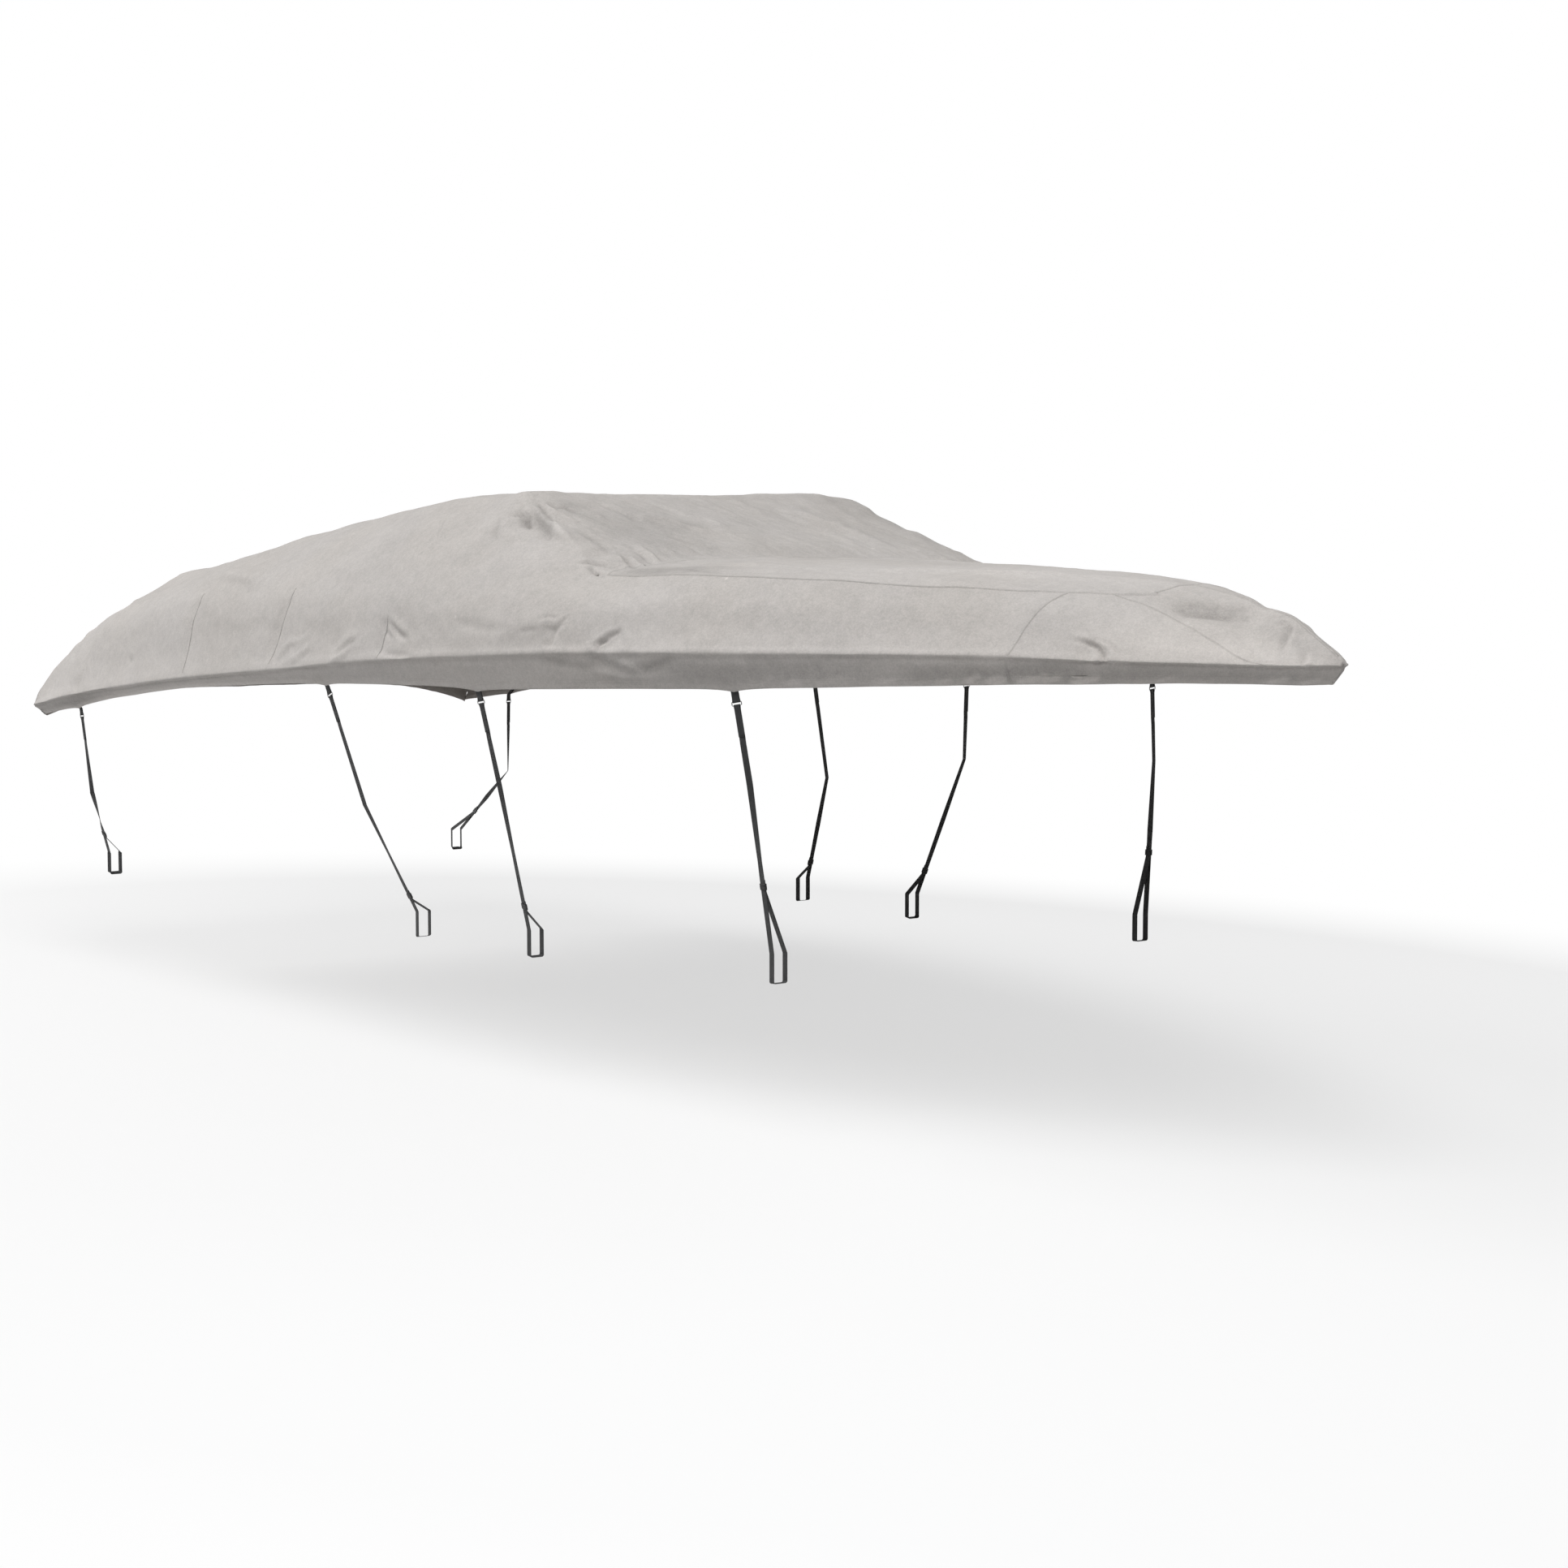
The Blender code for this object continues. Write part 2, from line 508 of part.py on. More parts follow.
def round_bar(bar, sign, ends):
    """Corners of webbing that comes to a bar, goes round it and comes back. sign is 1 if it goes below the bar."""
    ply, turn = (WEB + WEB_GAP) / 2, RING_WIRE + WEB_GAP + WEB / 2
    bend = [(turn * math.cos(a), bar + sign * turn * math.sin(a)) for a in np.linspace(0, math.pi, 6)]
    near = bar - sign * 4 * turn
    return [(ply, ends[0]), (ply, near), *bend, (-ply, near), (-ply, ends[1])]


def webbing(name, path, width, material):
    """Flat webbing whose middle follows a path of (place, way across)."""
    bm = bmesh.new()
    made = bmesh.ops.create_grid(bm, x_segments=1, y_segments=len(path) - 1, size=0.5)
    for vert in made["verts"]:
        place, wide = path[round((vert.co.y + 0.5) * (len(path) - 1))]
        vert.co = place + wide * math.copysign(width / 2, vert.co.x)
    solid = add_object(name, bm, material).modifiers.new("thickness", "SOLIDIFY")
    solid.thickness, solid.offset, solid.use_even_offset = WEB, 0, True
    bm.free()


def wire_ring(name, line, middle, material):
    """A rectangular ring of round wire, across the guide."""
    high, wide, bend = RING_TALL / 2, RING_WIDE, 0.003
    corners = [(wide, -high), (wide, high), (-wide, high), (-wide, -high)]
    place, across, out = beside(line, 0, middle)
    down = out.cross(across)
    curve = bpy.data.curves.new(name, "CURVE")
    curve.dimensions = "3D"
    curve.bevel_depth, curve.bevel_resolution = RING_WIRE, 1
    points = []
    for i, (x, y) in enumerate(corners):
        for other in (corners[i - 1], corners[(i + 1) % 4]):
            way = Vector((other[0] - x, other[1] - y)).normalized() * bend
            points.append(place + across * (x + way.x) + down * (y + way.y))
    spline = curve.splines.new("POLY")
    spline.points.add(len(points) - 1)
    for point, where in zip(spline.points, points):
        point.co = (*where, 1)
    spline.use_cyclic_u = True
    curve.materials.append(material)
    parts.objects.link(bpy.data.objects.new(name, curve))


def slide_buckle(name, line, middle, material):
    """A flat sleeve round the strap's two plies."""
    wide = WEB_WIDTH + 2 * BUCKLE_PLAY + BUCKLE_WALL
    high = 2 * WEB + WEB_GAP + BUCKLE_PLAY + BUCKLE_WALL
    place, across, out = beside(line, -(WEB + WEB_GAP) / 2, middle)
    bm = bmesh.new()
    bmesh.ops.create_cube(bm, size=1)
    bmesh.ops.scale(bm, vec=(wide, high, BUCKLE_LONG), verts=bm.verts)
    bmesh.ops.delete(bm, geom=[face for face in bm.faces if abs(face.normal.z) > 0.5], context="FACES_ONLY")
    long_edges = [edge for edge in bm.edges if not edge.is_boundary]
    bmesh.ops.bevel(bm, geom=long_edges, offset=high * 0.25, segments=1, affect="EDGES")
    turned = Matrix((across, out, across.cross(out))).transposed()
    bm.transform(Matrix.Translation(place) @ turned.to_4x4())
    solid = add_object(name, bm, material).modifiers.new("wall", "SOLIDIFY")
    solid.thickness, solid.offset, solid.use_even_offset = BUCKLE_WALL, 0, True
    bm.free()


def tie_down(row, side, black, metal, moulded):
    """One strap with its tab, ring and buckle."""
    strap = dict(zip(STRAP_COLUMNS, row))
    label = f"{strap['name']}_{'port' if side == PORT else 'starboard'}"
    line, buckle = guide(row, side)
    top_bar = TAB_SEWN + TAB_BEND + TAB_DROP - RING_TALL / 2
    low_bar = top_bar + RING_TALL
    webbing("tab_" + label, laid(line, round_bar(top_bar, 1, (0.0, 0.0))), TAB_WIDTH, black)
    wire_ring("ring_" + label, line, (top_bar + low_bar) / 2, metal)

    tail = low_bar + TAIL
    path = laid(line, [*round_bar(low_bar, -1, (tail, tail)), (0.0, tail + TAIL_MARGIN), (0.0, line[-1][3])])
    off = WEB_GAP + WEB / 2
    outer, inner = side * (strap["beam_y"] + off), side * (strap["beam_y"] - BEAM_WIDE - off)
    aft, low, high = strap["beam_aft"], strap["beam_z"] - off, strap["beam_z"] + BEAM_TALL
    behind = -(WEB + WEB_GAP)
    enter, wide, _ = beside(line, behind, buckle + BUCKLE_LONG / 2 + BUCKLE_ENTRY)
    end = beside(line, behind, buckle - BUCKLE_LONG / 2 - STRAP_END)[0]
    loop = bent([
        path[-2][0],
        path[-1][0],
        placed(aft, outer, low),
        placed(aft, inner, low),
        placed(aft, inner, high),
        enter,
        end,
    ], BEAM_CORNER)
    path = path[:-1] + [(place, wide) for place in loop[1:]]
    webbing("strap_" + label, path, WEB_WIDTH, black)
    slide_buckle("buckle_" + label, line, buckle, moulded)


def new_material(name, color, roughness, metallic=0.0):
    material = bpy.data.materials.new(name)
    material.use_nodes = True
    shader = material.node_tree.nodes["Principled BSDF"]
    shader.inputs["Base Color"].default_value = (*color, 1)
    shader.inputs["Roughness"].default_value = roughness
    shader.inputs["Metallic"].default_value = metallic
    return material


for old in list(bpy.data.objects):
    bpy.data.objects.remove(old)
parts = bpy.data.collections.new("boat_cover")
bpy.context.scene.collection.children.link(parts)
cloth = new_material("cover_cloth", (0.60, 0.56, 0.53), 0.85)
black = new_material("strap_webbing", (0.02, 0.02, 0.022), 0.75)
wire = new_material("ring_wire", (0.35, 0.35, 0.36), 0.35, 1.0)
plastic = new_material("buckle_plastic", (0.02, 0.02, 0.02), 0.45)
cloth_panels(cloth)
for strap_row in STRAPS:
    for strap_side in (STARBOARD, PORT):
        tie_down(strap_row, strap_side, black, wire, plastic)
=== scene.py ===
"""The looks of the fitted boat cover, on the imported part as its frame.

Four sewn panels of woven cloth, drawn tight, with their creases, lapped seams, turned hem and stitching, and the
webbing, rings and buckles that hold them down. Metres; +X is the bow, +Y is port, +Z is up. A place on the cloth is
given as (aft, across): metres aft of the bow tip, and 0 at the crown to 5 at the hem, starboard negative.
"""

import math

import bpy
import numpy as np
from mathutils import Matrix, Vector


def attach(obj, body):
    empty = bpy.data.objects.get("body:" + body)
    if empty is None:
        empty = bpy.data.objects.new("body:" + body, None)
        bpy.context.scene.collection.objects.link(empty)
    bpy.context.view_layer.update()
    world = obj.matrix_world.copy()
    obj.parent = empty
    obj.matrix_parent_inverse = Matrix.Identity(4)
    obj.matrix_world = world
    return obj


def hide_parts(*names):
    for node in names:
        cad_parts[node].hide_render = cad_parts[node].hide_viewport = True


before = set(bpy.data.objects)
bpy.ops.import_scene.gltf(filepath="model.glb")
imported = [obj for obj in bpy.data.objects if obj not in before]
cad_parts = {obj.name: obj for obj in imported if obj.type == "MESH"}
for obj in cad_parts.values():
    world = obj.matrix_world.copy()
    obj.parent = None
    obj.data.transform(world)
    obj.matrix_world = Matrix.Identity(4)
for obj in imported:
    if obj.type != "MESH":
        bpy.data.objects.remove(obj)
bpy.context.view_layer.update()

# ---------------------------------------------------------------------------------------------------------------
# Sizes of the part, as its source gives them.

LENGTH = 6.80  # bow tip to the stern's edge
CLOTH = 0.0025
ORIGIN_AFT = 3.40
FOREDECK_FOOT = 2.45  # seam at the front slope's foot
FOREDECK_TIP = 0.58  # front of the foredeck panel
BOW_SEAM = 0.77  # upright seam of the bow sides

WEB_WIDTH = 0.025
WEB = 0.0016
WEB_GAP = 0.0005
TAB_WIDTH = 0.030
TAB_BEND = 0.006
TAB_DROP = 0.034
TAB_SEWN = 0.035
TAB_GAP = 0.0008
RING_WIRE = 0.0015
RING_WIDE = 0.019
RING_TALL = 0.012
TAIL = 0.10
BEAM_CORNER = 0.008
BUCKLE_LONG = 0.020
BUCKLE_WALL = 0.0018
BUCKLE_PLAY = 0.0012
STRAP_END = 0.012
STRAP_BEND = 0.012
TAIL_MARGIN = 0.02
TWIST_SHARE = 0.45
BUCKLE_LEAD = 0.035
BUCKLE_ENTRY = 0.006
BEAM_WIDE, BEAM_TALL = 0.050, 0.094
HEM_PULL, HEM_PULL_REACH = 0.012, 0.055

# A row for each section. The hem is given from the edge: how far in and how far down.
SECTION_COLUMNS = (
    "aft", "edge_y", "edge_z", "hem_in", "hem_drop", "haunch_y", "haunch_z", "deck_y", "deck_z", "top_z", "crown_z",
    "sharp")
SECTIONS = (
    (0.000, 0.000, 1.552, 0.040, 0.055, 0.000, 1.552, 0.000, 1.552, 1.552, 1.552, 0.0),
    (0.010, 0.022, 1.552, 0.040, 0.055, 0.016, 1.560, 0.008, 1.569, 1.571, 1.572, 0.0),
    (0.030, 0.052, 1.551, 0.040, 0.055, 0.038, 1.565, 0.016, 1.581, 1.585, 1.587, 0.0),
    (0.070, 0.094, 1.550, 0.040, 0.055, 0.066, 1.572, 0.026, 1.600, 1.607, 1.611, 0.0),
    (0.120, 0.136, 1.550, 0.040, 0.055, 0.094, 1.584, 0.034, 1.624, 1.636, 1.642, 0.0),
    (0.200, 0.196, 1.552, 0.042, 0.056, 0.134, 1.602, 0.044, 1.664, 1.683, 1.692, 0.0),
    (0.300, 0.270, 1.554, 0.044, 0.058, 0.184, 1.624, 0.052, 1.696, 1.710, 1.716, 0.0),
    (0.360, 0.314, 1.556, 0.045, 0.060, 0.216, 1.638, 0.060, 1.718, 1.731, 1.736, 0.1),
    (0.440, 0.372, 1.557, 0.045, 0.064, 0.256, 1.660, 0.076, 1.742, 1.752, 1.756, 0.2),
    (0.510, 0.420, 1.559, 0.045, 0.067, 0.294, 1.676, 0.104, 1.752, 1.765, 1.770, 0.3),
    (0.560, 0.454, 1.560, 0.045, 0.070, 0.322, 1.686, 0.146, 1.755, 1.773, 1.780, 0.4),
    (0.630, 0.502, 1.562, 0.045, 0.074, 0.366, 1.696, 0.214, 1.756, 1.780, 1.789, 0.5),
    (0.770, 0.592, 1.567, 0.045, 0.081, 0.464, 1.704, 0.338, 1.757, 1.788, 1.798, 0.6),
    (0.950, 0.694, 1.570, 0.045, 0.091, 0.578, 1.706, 0.474, 1.768, 1.800, 1.809, 0.6),
    (1.130, 0.782, 1.570, 0.045, 0.097, 0.680, 1.706, 0.590, 1.778, 1.811, 1.819, 0.6),
    (1.300, 0.854, 1.568, 0.045, 0.102, 0.766, 1.706, 0.674, 1.787, 1.821, 1.828, 0.6),
    (1.600, 0.960, 1.564, 0.045, 0.108, 0.884, 1.704, 0.792, 1.798, 1.831, 1.838, 0.6),
    (2.000, 1.060, 1.559, 0.045, 0.116, 0.996, 1.702, 0.876, 1.810, 1.846, 1.853, 0.6),
    (2.400, 1.127, 1.549, 0.045, 0.118, 1.076, 1.702, 0.905, 1.808, 1.861, 1.866, 0.6),
    (2.450, 1.134, 1.547, 0.045, 0.118, 1.084, 1.702, 0.904, 1.812, 1.865, 1.870, 0.7),
    (2.560, 1.148, 1.543, 0.045, 0.118, 1.098, 1.702, 0.880, 1.856, 1.905, 1.912, 0.8),
    (2.800, 1.170, 1.532, 0.045, 0.114, 1.118, 1.702, 0.828, 1.952, 1.982, 1.986, 0.8),
    (3.100, 1.195, 1.519, 0.045, 0.102, 1.134, 1.708, 0.764, 2.074, 2.086, 2.088, 0.8),
    (3.190, 1.199, 1.515, 0.045, 0.098, 1.136, 1.712, 0.748, 2.102, 2.107, 2.109, 0.7),
    (3.320, 1.204, 1.508, 0.045, 0.093, 1.136, 1.720, 0.744, 2.092, 2.104, 2.110, 0.5),
    (3.600, 1.215, 1.492, 0.045, 0.082, 1.134, 1.732, 0.745, 2.087, 2.103, 2.110, 0.3),
    (4.200, 1.220, 1.446, 0.045, 0.054, 1.118, 1.740, 0.752, 2.036, 2.057, 2.065, 0.3),
    (4.600, 1.220, 1.418, 0.045, 0.046, 1.112, 1.738, 0.756, 1.992, 2.014, 2.022, 0.3),
    (5.200, 1.212, 1.374, 0.045, 0.036, 1.098, 1.720, 0.762, 1.910, 1.932, 1.940, 0.3),
    (5.880, 1.192, 1.313, 0.045, 0.038, 1.072, 1.636, 0.765, 1.823, 1.842, 1.850, 0.4),
    (6.040, 1.188, 1.298, 0.045, 0.042, 1.066, 1.612, 0.765, 1.814, 1.832, 1.840, 0.5),
    (6.180, 1.184, 1.283, 0.045, 0.045, 1.064, 1.584, 0.765, 1.736, 1.766, 1.776, 0.3),
    (6.370, 1.180, 1.262, 0.045, 0.048, 1.062, 1.540, 0.765, 1.700, 1.727, 1.736, 0.3),
    (6.500, 1.176, 1.246, 0.045, 0.048, 1.062, 1.500, 0.800, 1.650, 1.682, 1.690, 0.3),
    (6.660, 1.168, 1.224, 0.045, 0.046, 1.068, 1.416, 0.850, 1.552, 1.588, 1.598, 0.3),
    (6.730, 1.163, 1.216, 0.045, 0.046, 1.080, 1.376, 0.890, 1.492, 1.530, 1.542, 0.3),
    (6.765, 1.160, 1.211, 0.045, 0.046, 1.104, 1.322, 0.950, 1.404, 1.444, 1.452, 0.2),
    (6.800, 1.155, 1.206, 0.045, 0.046, 1.118, 1.284, 0.960, 1.362, 1.402, 1.410, 0.2),
)
DECK, EDGE, HEM = 2, 4, 5  # places across the cloth: the shoulder, the widest edge and the hem
TRANSOM_ROW = 0.13  # beyond LENGTH, this much of aft stands for one of the stern's rows
TRANSOM_ROWS = 3  # edge line, middle of the skirt, hem
TRANSOM_CAMBER = 0.11

# The part's own folds: side (0 is both), start and end as (aft, across), width, height.
FOLDS = (
    (0, (0.50, 2.70), (0.25, 2.05), 0.060, -0.014),
    (0, (0.67, 2.12), (0.38, 2.92), 0.030, -0.004),
    (0, (0.38, 2.92), (0.16, 4.00), 0.030, -0.004),
    (-1, (0.62, 3.66), (0.51, 4.10), 0.030, -0.008),
    (-1, (1.62, 1.66), (0.80, 0.60), 0.050, 0.007),
    (-1, (2.10, 3.50), (2.20, 4.02), 0.032, -0.010),
    (-1, (2.76, 3.52), (2.42, 3.28), 0.035, 0.007),
    (-1, (2.44, 3.40), (2.44, 3.92), 0.032, -0.007),
    (0, (2.66, 1.86), (2.42, 2.04), 0.045, -0.012),
    (-1, (3.08, 2.20), (2.82, 2.10), 0.040, -0.014),
    (1, (3.08, 2.15), (2.86, 2.12), 0.040, -0.010),
    (1, (3.07, 0.73), (2.52, 1.15), 0.040, 0.011),
    (1, (3.03, 0.50), (2.52, 0.92), 0.035, -0.007),
    (-1, (2.92, 1.10), (2.78, 0.68), 0.035, 0.008),
    (-1, (3.56, 2.20), (3.48, 2.50), 0.035, 0.008),
    (0, (3.45, 3.30), (3.46, 3.96), 0.032, -0.008),
    (0, (4.27, 2.95), (4.30, 3.90), 0.032, -0.009),
    (0, (5.11, 2.95), (5.08, 3.90), 0.032, -0.008),
    (-1, (3.62, 3.56), (3.84, 4.06), 0.035, 0.010),
    (-1, (5.14, 2.62), (4.58, 2.90), 0.045, 0.009),
    (-1, (6.23, 3.40), (6.28, 4.00), 0.035, -0.007),
    (1, (3.26, 0.60), (3.15, 1.82), 0.130, 0.013),
    (1, (3.06, 1.85), (2.86, 2.10), 0.090, -0.012),
    (1, (2.68, 1.95), (2.50, 1.85), 0.080, 0.010),
    (0, (5.78, 2.66), (6.12, 2.12), 0.110, -0.018),
    (0, (6.20, 3.30), (6.56, 2.94), 0.110, -0.020),
)

STRAP_COLUMNS = (
    "name", "aft", "side_aft", "side_y", "side_z", "beam_aft", "beam_y", "beam_z", "buckle_z", "turn_side",
    "turn_middle")
STRAPS = (
    ("bow", 1.660, 1.635, 0.895, 1.150, 1.605, 0.830, 0.518, 0.827, 3, -4),
    ("fore", 2.890, 2.850, 1.070, 1.080, 2.935, 0.900, 0.458, 0.640, 8, -5),
    ("aft", 3.930, 3.760, 1.100, 0.950, 3.675, 0.930, 0.452, 0.606, 6, -8),
    ("stern", 6.340, 6.305, 1.090, 0.830, 6.500, 0.930, 0.440, 0.625, 26, -24),
)
STARBOARD, PORT = -1, 1
SIDE_NAMES = {PORT: "port", STARBOARD: "starboard"}

# ---------------------------------------------------------------------------------------------------------------
# What the scene adds to the cloth.

# Creases: side (0 is both), places along it as (aft, across), half width and height in millimetres (a trough
# is negative), and lean: which side its companion of the opposite height lies on, 1 to the left of the way it runs,
# -1 to the right, 0 on both sides.
CREASES = (
    # The front slope's upper corner, where the cloth is bunched.
    (-1, ((3.13, 2.00), (3.07, 2.00), (3.02, 1.99), (2.93, 2.00), (2.88, 1.92), (2.81, 1.78)), 12, -13, -1),
    (-1, ((3.08, 1.96), (2.99, 1.93), (2.94, 1.88), (2.90, 1.83), (2.84, 1.76)), 12, 13, 1),
    (-1, ((3.06, 1.90), (3.02, 1.86), (2.99, 1.75), (2.92, 1.68)), 12, -9, 0),
    (-1, ((3.00, 1.66), (2.93, 1.52), (2.86, 1.50)), 13, 6, 1),
    (-1, ((3.17, 2.20), (3.11, 2.17), (3.06, 2.14), (3.02, 2.17), (2.96, 2.16)), 12, -16, -1),
    (-1, ((3.10, 2.10), (3.06, 2.11), (3.03, 2.12)), 11, 10, 0),
    (-1, ((3.09, 2.05), (3.04, 2.05), (2.98, 2.05)), 12, 7, 0),
    (-1, ((3.02, 2.09), (2.96, 2.10), (2.88, 2.12), (2.79, 2.15)), 18, -11, 1),
    (-1, ((2.90, 2.05), (2.83, 2.02), (2.74, 1.98)), 20, 8, 0),
    (-1, ((2.84, 2.12), (2.78, 2.08), (2.70, 2.06)), 12, -6, 0),
    (-1, ((3.16, 2.22), (3.08, 2.30), (2.96, 2.30)), 15, 5, 1),
    (-1, ((3.23, 2.24), (3.16, 2.30), (3.12, 2.38), (3.05, 2.42)), 12, -9, 1),
    (-1, ((3.32, 2.20), (3.20, 2.34)), 12, 5, 0),
    (-1, ((2.84, 1.86), (2.76, 1.82), (2.66, 1.78), (2.54, 1.79)), 13, -8, 1),
    # Across the front slope, drawn from its top edge to its foot.
    (-1, ((2.94, 1.14), (2.85, 0.90), (2.76, 0.76), (2.67, 0.47), (2.58, 0.26)), 15, 7.5, 1),
    (-1, ((3.06, 1.40), (2.96, 1.24), (2.80, 1.10)), 15, -6.3, 1),
    (-1, ((2.90, 0.56), (2.85, 0.42), (2.72, 0.34)), 14, 5, 1),
    (-1, ((3.08, 0.84), (2.96, 0.68), (2.86, 0.62)), 13, -3.7, 1),
    (-1, ((3.06, 0.08), (2.94, 0.02), (2.84, 0.02)), 13, 5, 1),
    (-1, ((2.70, 1.10), (2.58, 0.92), (2.52, 0.70)), 13, -5, 1),
    (1, ((3.13, 0.32), (3.03, 0.35), (2.91, 0.35)), 13, 7.5, -1),
    (1, ((3.13, 0.80), (2.92, 0.66), (2.82, 0.68), (2.70, 0.74), (2.50, 0.64)), 15, 10, -1),
    (1, ((2.76, 0.50), (2.66, 0.55), (2.54, 0.56)), 15, -7.5, 0),
    (1, ((2.96, 0.86), (2.83, 0.98), (2.73, 1.12)), 12, -7.5, 1),
    (1, ((2.86, 0.86), (2.76, 0.98), (2.62, 1.10)), 13, 6.3, 1),
    (1, ((3.10, 1.45), (2.80, 1.40)), 18, 5, -1),
    # Puckers at the front slope's foot.
    (-1, ((2.64, 1.50), (2.58, 1.48), (2.52, 1.46), (2.45, 1.45)), 11, 12, 1),
    (-1, ((2.60, 1.56), (2.50, 1.53), (2.44, 1.52)), 10, -8, 0),
    (-1, ((2.54, 1.65), (2.47, 1.64), (2.42, 1.65)), 10, 9, 1),
    (-1, ((2.57, 1.73), (2.51, 1.76), (2.47, 1.76), (2.41, 1.80)), 11, 12, 1),
    (-1, ((2.57, 1.69), (2.47, 1.70)), 9, -8, 0),
    (-1, ((2.62, 2.12), (2.59, 2.08), (2.55, 1.93), (2.49, 1.85), (2.44, 1.83)), 11, -10, 1),
    (-1, ((2.54, 2.01), (2.50, 1.97), (2.46, 1.93), (2.43, 1.90)), 14, 11, 0),
    (-1, ((2.58, 2.10), (2.53, 2.04), (2.48, 2.00), (2.43, 1.99), (2.37, 1.86)), 12, -11, -1),
    (-1, ((2.60, 1.30), (2.50, 1.26)), 11, 7, 1),
    (-1, ((2.60, 1.12), (2.51, 1.06)), 11, 6, 1),
    (1, ((2.60, 1.50), (2.45, 1.46)), 18, 8, 1),
    (1, ((2.56, 1.80), (2.44, 1.84)), 18, 9, 1),
    (1, ((2.60, 2.10), (2.46, 2.02)), 18, 8, -1),
    # The haunch under the front slope: a three-legged crease.
    (-1, ((2.92, 3.42), (2.76, 3.48), (2.60, 3.44)), 18, -2.6, 0),
    (-1, ((2.52, 3.32), (2.46, 3.24), (2.41, 3.30)), 8, -3, -1),
    (-1, ((2.38, 3.16), (2.39, 3.30), (2.42, 3.50), (2.44, 3.96)), 8, -4.5, -1),
    (-1, ((2.37, 3.38), (2.42, 3.48)), 8, -2.5, 0),
    (-1, ((2.47, 3.62), (2.48, 3.86)), 10, 2.2, 0),
    (-1, ((2.62, 3.56), (2.50, 3.50)), 9, -2, 0),
    (-1, ((3.02, 3.30), (2.86, 3.44)), 17, -2.6, 0),
    # The sharp pinch above the widest edge, and what it draws in the skirt.
    (-1, ((2.10, 3.48), (2.15, 3.60), (2.19, 3.74), (2.21, 3.86), (2.18, 4.12)), 8, -7, -1),
    (-1, ((2.16, 3.70), (2.20, 3.82), (2.19, 4.04)), 7, -6, 0),
    (-1, ((2.25, 3.72), (2.25, 3.84), (2.22, 4.00)), 9, 3.5, 0),
    (-1, ((2.24, 4.02), (2.18, 4.24), (2.08, 4.44)), 18, -6, 1),
    (-1, ((2.50, 4.10), (2.34, 4.34), (2.14, 4.52)), 20, -5.5, 1),
    (-1, ((2.04, 4.56), (1.96, 4.36), (1.84, 4.10)), 20, -7.5, 1),
    (-1, ((2.12, 4.20), (2.02, 4.52)), 16, 5, 0),
    (-1, ((2.30, 4.40), (2.14, 4.64), (1.96, 4.72)), 15, 5, 0),
    # The bow's sharp crease and its branch.
    (-1, ((0.67, 3.56), (0.59, 3.64), (0.56, 3.74), (0.54, 3.88), (0.52, 4.20)), 8, -13, 1),
    (-1, ((0.56, 3.68), (0.54, 3.75), (0.52, 3.92)), 6, -5, 0),
    (-1, ((0.62, 3.50), (0.57, 3.58), (0.53, 3.70), (0.49, 3.90)), 7, -5, 1),
    (-1, ((0.58, 3.78), (0.55, 3.94), (0.54, 4.06)), 9, 6, 0),
    # Foredeck and bow.
    (-1, ((1.61, 1.67), (1.20, 1.10), (0.80, 0.40)), 26, 6.8, 1),
    (-1, ((2.20, 1.74), (1.90, 1.86), (1.50, 1.80)), 29, -6.8, 1),
    (-1, ((2.30, 1.30), (1.90, 1.40), (1.40, 1.20)), 26, 5.1, -1),
    (1, ((2.32, 0.45), (1.80, 0.70), (1.30, 0.66)), 26, 5.1, 1),
    (-1, ((0.52, 2.52), (0.44, 2.54), (0.38, 2.36), (0.25, 1.95)), 18, -8, 1),
    (-1, ((0.52, 2.50), (0.40, 2.20), (0.30, 1.90)), 17, -5.1, 1),
    (0, ((0.19, 1.10), (0.17, 2.00), (0.16, 2.45), (0.12, 3.60)), 10, -8, 1),
    (0, ((0.10, 2.40), (0.08, 3.30), (0.08, 4.00)), 10, -7, 1),
    (0, ((0.20, 1.20), (0.20, 2.07)), 10, -5.1, 0),
    (0, ((0.23, 2.90), (0.20, 3.40), (0.19, 3.80)), 8, -3.4, 1),
    # The side, from the front slope aft.
    (-1, ((3.55, 2.20), (3.52, 2.34), (3.46, 2.48)), 11, -7.5, 1),
    (-1, ((3.45, 3.38), (3.36, 3.56), (3.27, 3.70)), 13, -9, 1),
    (-1, ((3.47, 3.48), (3.42, 3.60), (3.38, 3.68)), 11, -6, 1),
    (-1, ((3.46, 3.88), (3.34, 3.92), (3.22, 3.94)), 11, -6, -1),
    (-1, ((3.60, 3.62), (3.70, 3.78), (3.81, 3.97)), 13, -7.5, 1),
    (-1, ((3.68, 3.80), (3.74, 3.90), (3.80, 4.02)), 11, 4.5, 0),
    (-1, ((3.98, 3.70), (4.05, 3.80), (4.14, 3.96)), 13, 6, 1),
    (-1, ((4.08, 3.58), (4.20, 3.72), (4.26, 3.90)), 13, 6, 1),
    (-1, ((4.04, 3.50), (4.14, 3.64)), 11, -4.5, 1),
    (-1, ((5.12, 2.65), (4.90, 2.78), (4.60, 2.88)), 20, 7.5, -1),
    (-1, ((4.96, 3.68), (4.94, 3.90)), 11, -4.5, 1),
    (-1, ((5.72, 3.60), (5.66, 3.74)), 11, -6, 0),
    (-1, ((6.24, 3.38), (6.25, 3.66), (6.27, 3.95)), 11, -7.5, 1),
    (-1, ((6.20, 3.46), (6.23, 3.80)), 11, 4.5, 0),
    (-1, ((6.36, 2.30), (6.20, 2.48), (6.06, 2.60)), 20, 6, 1),
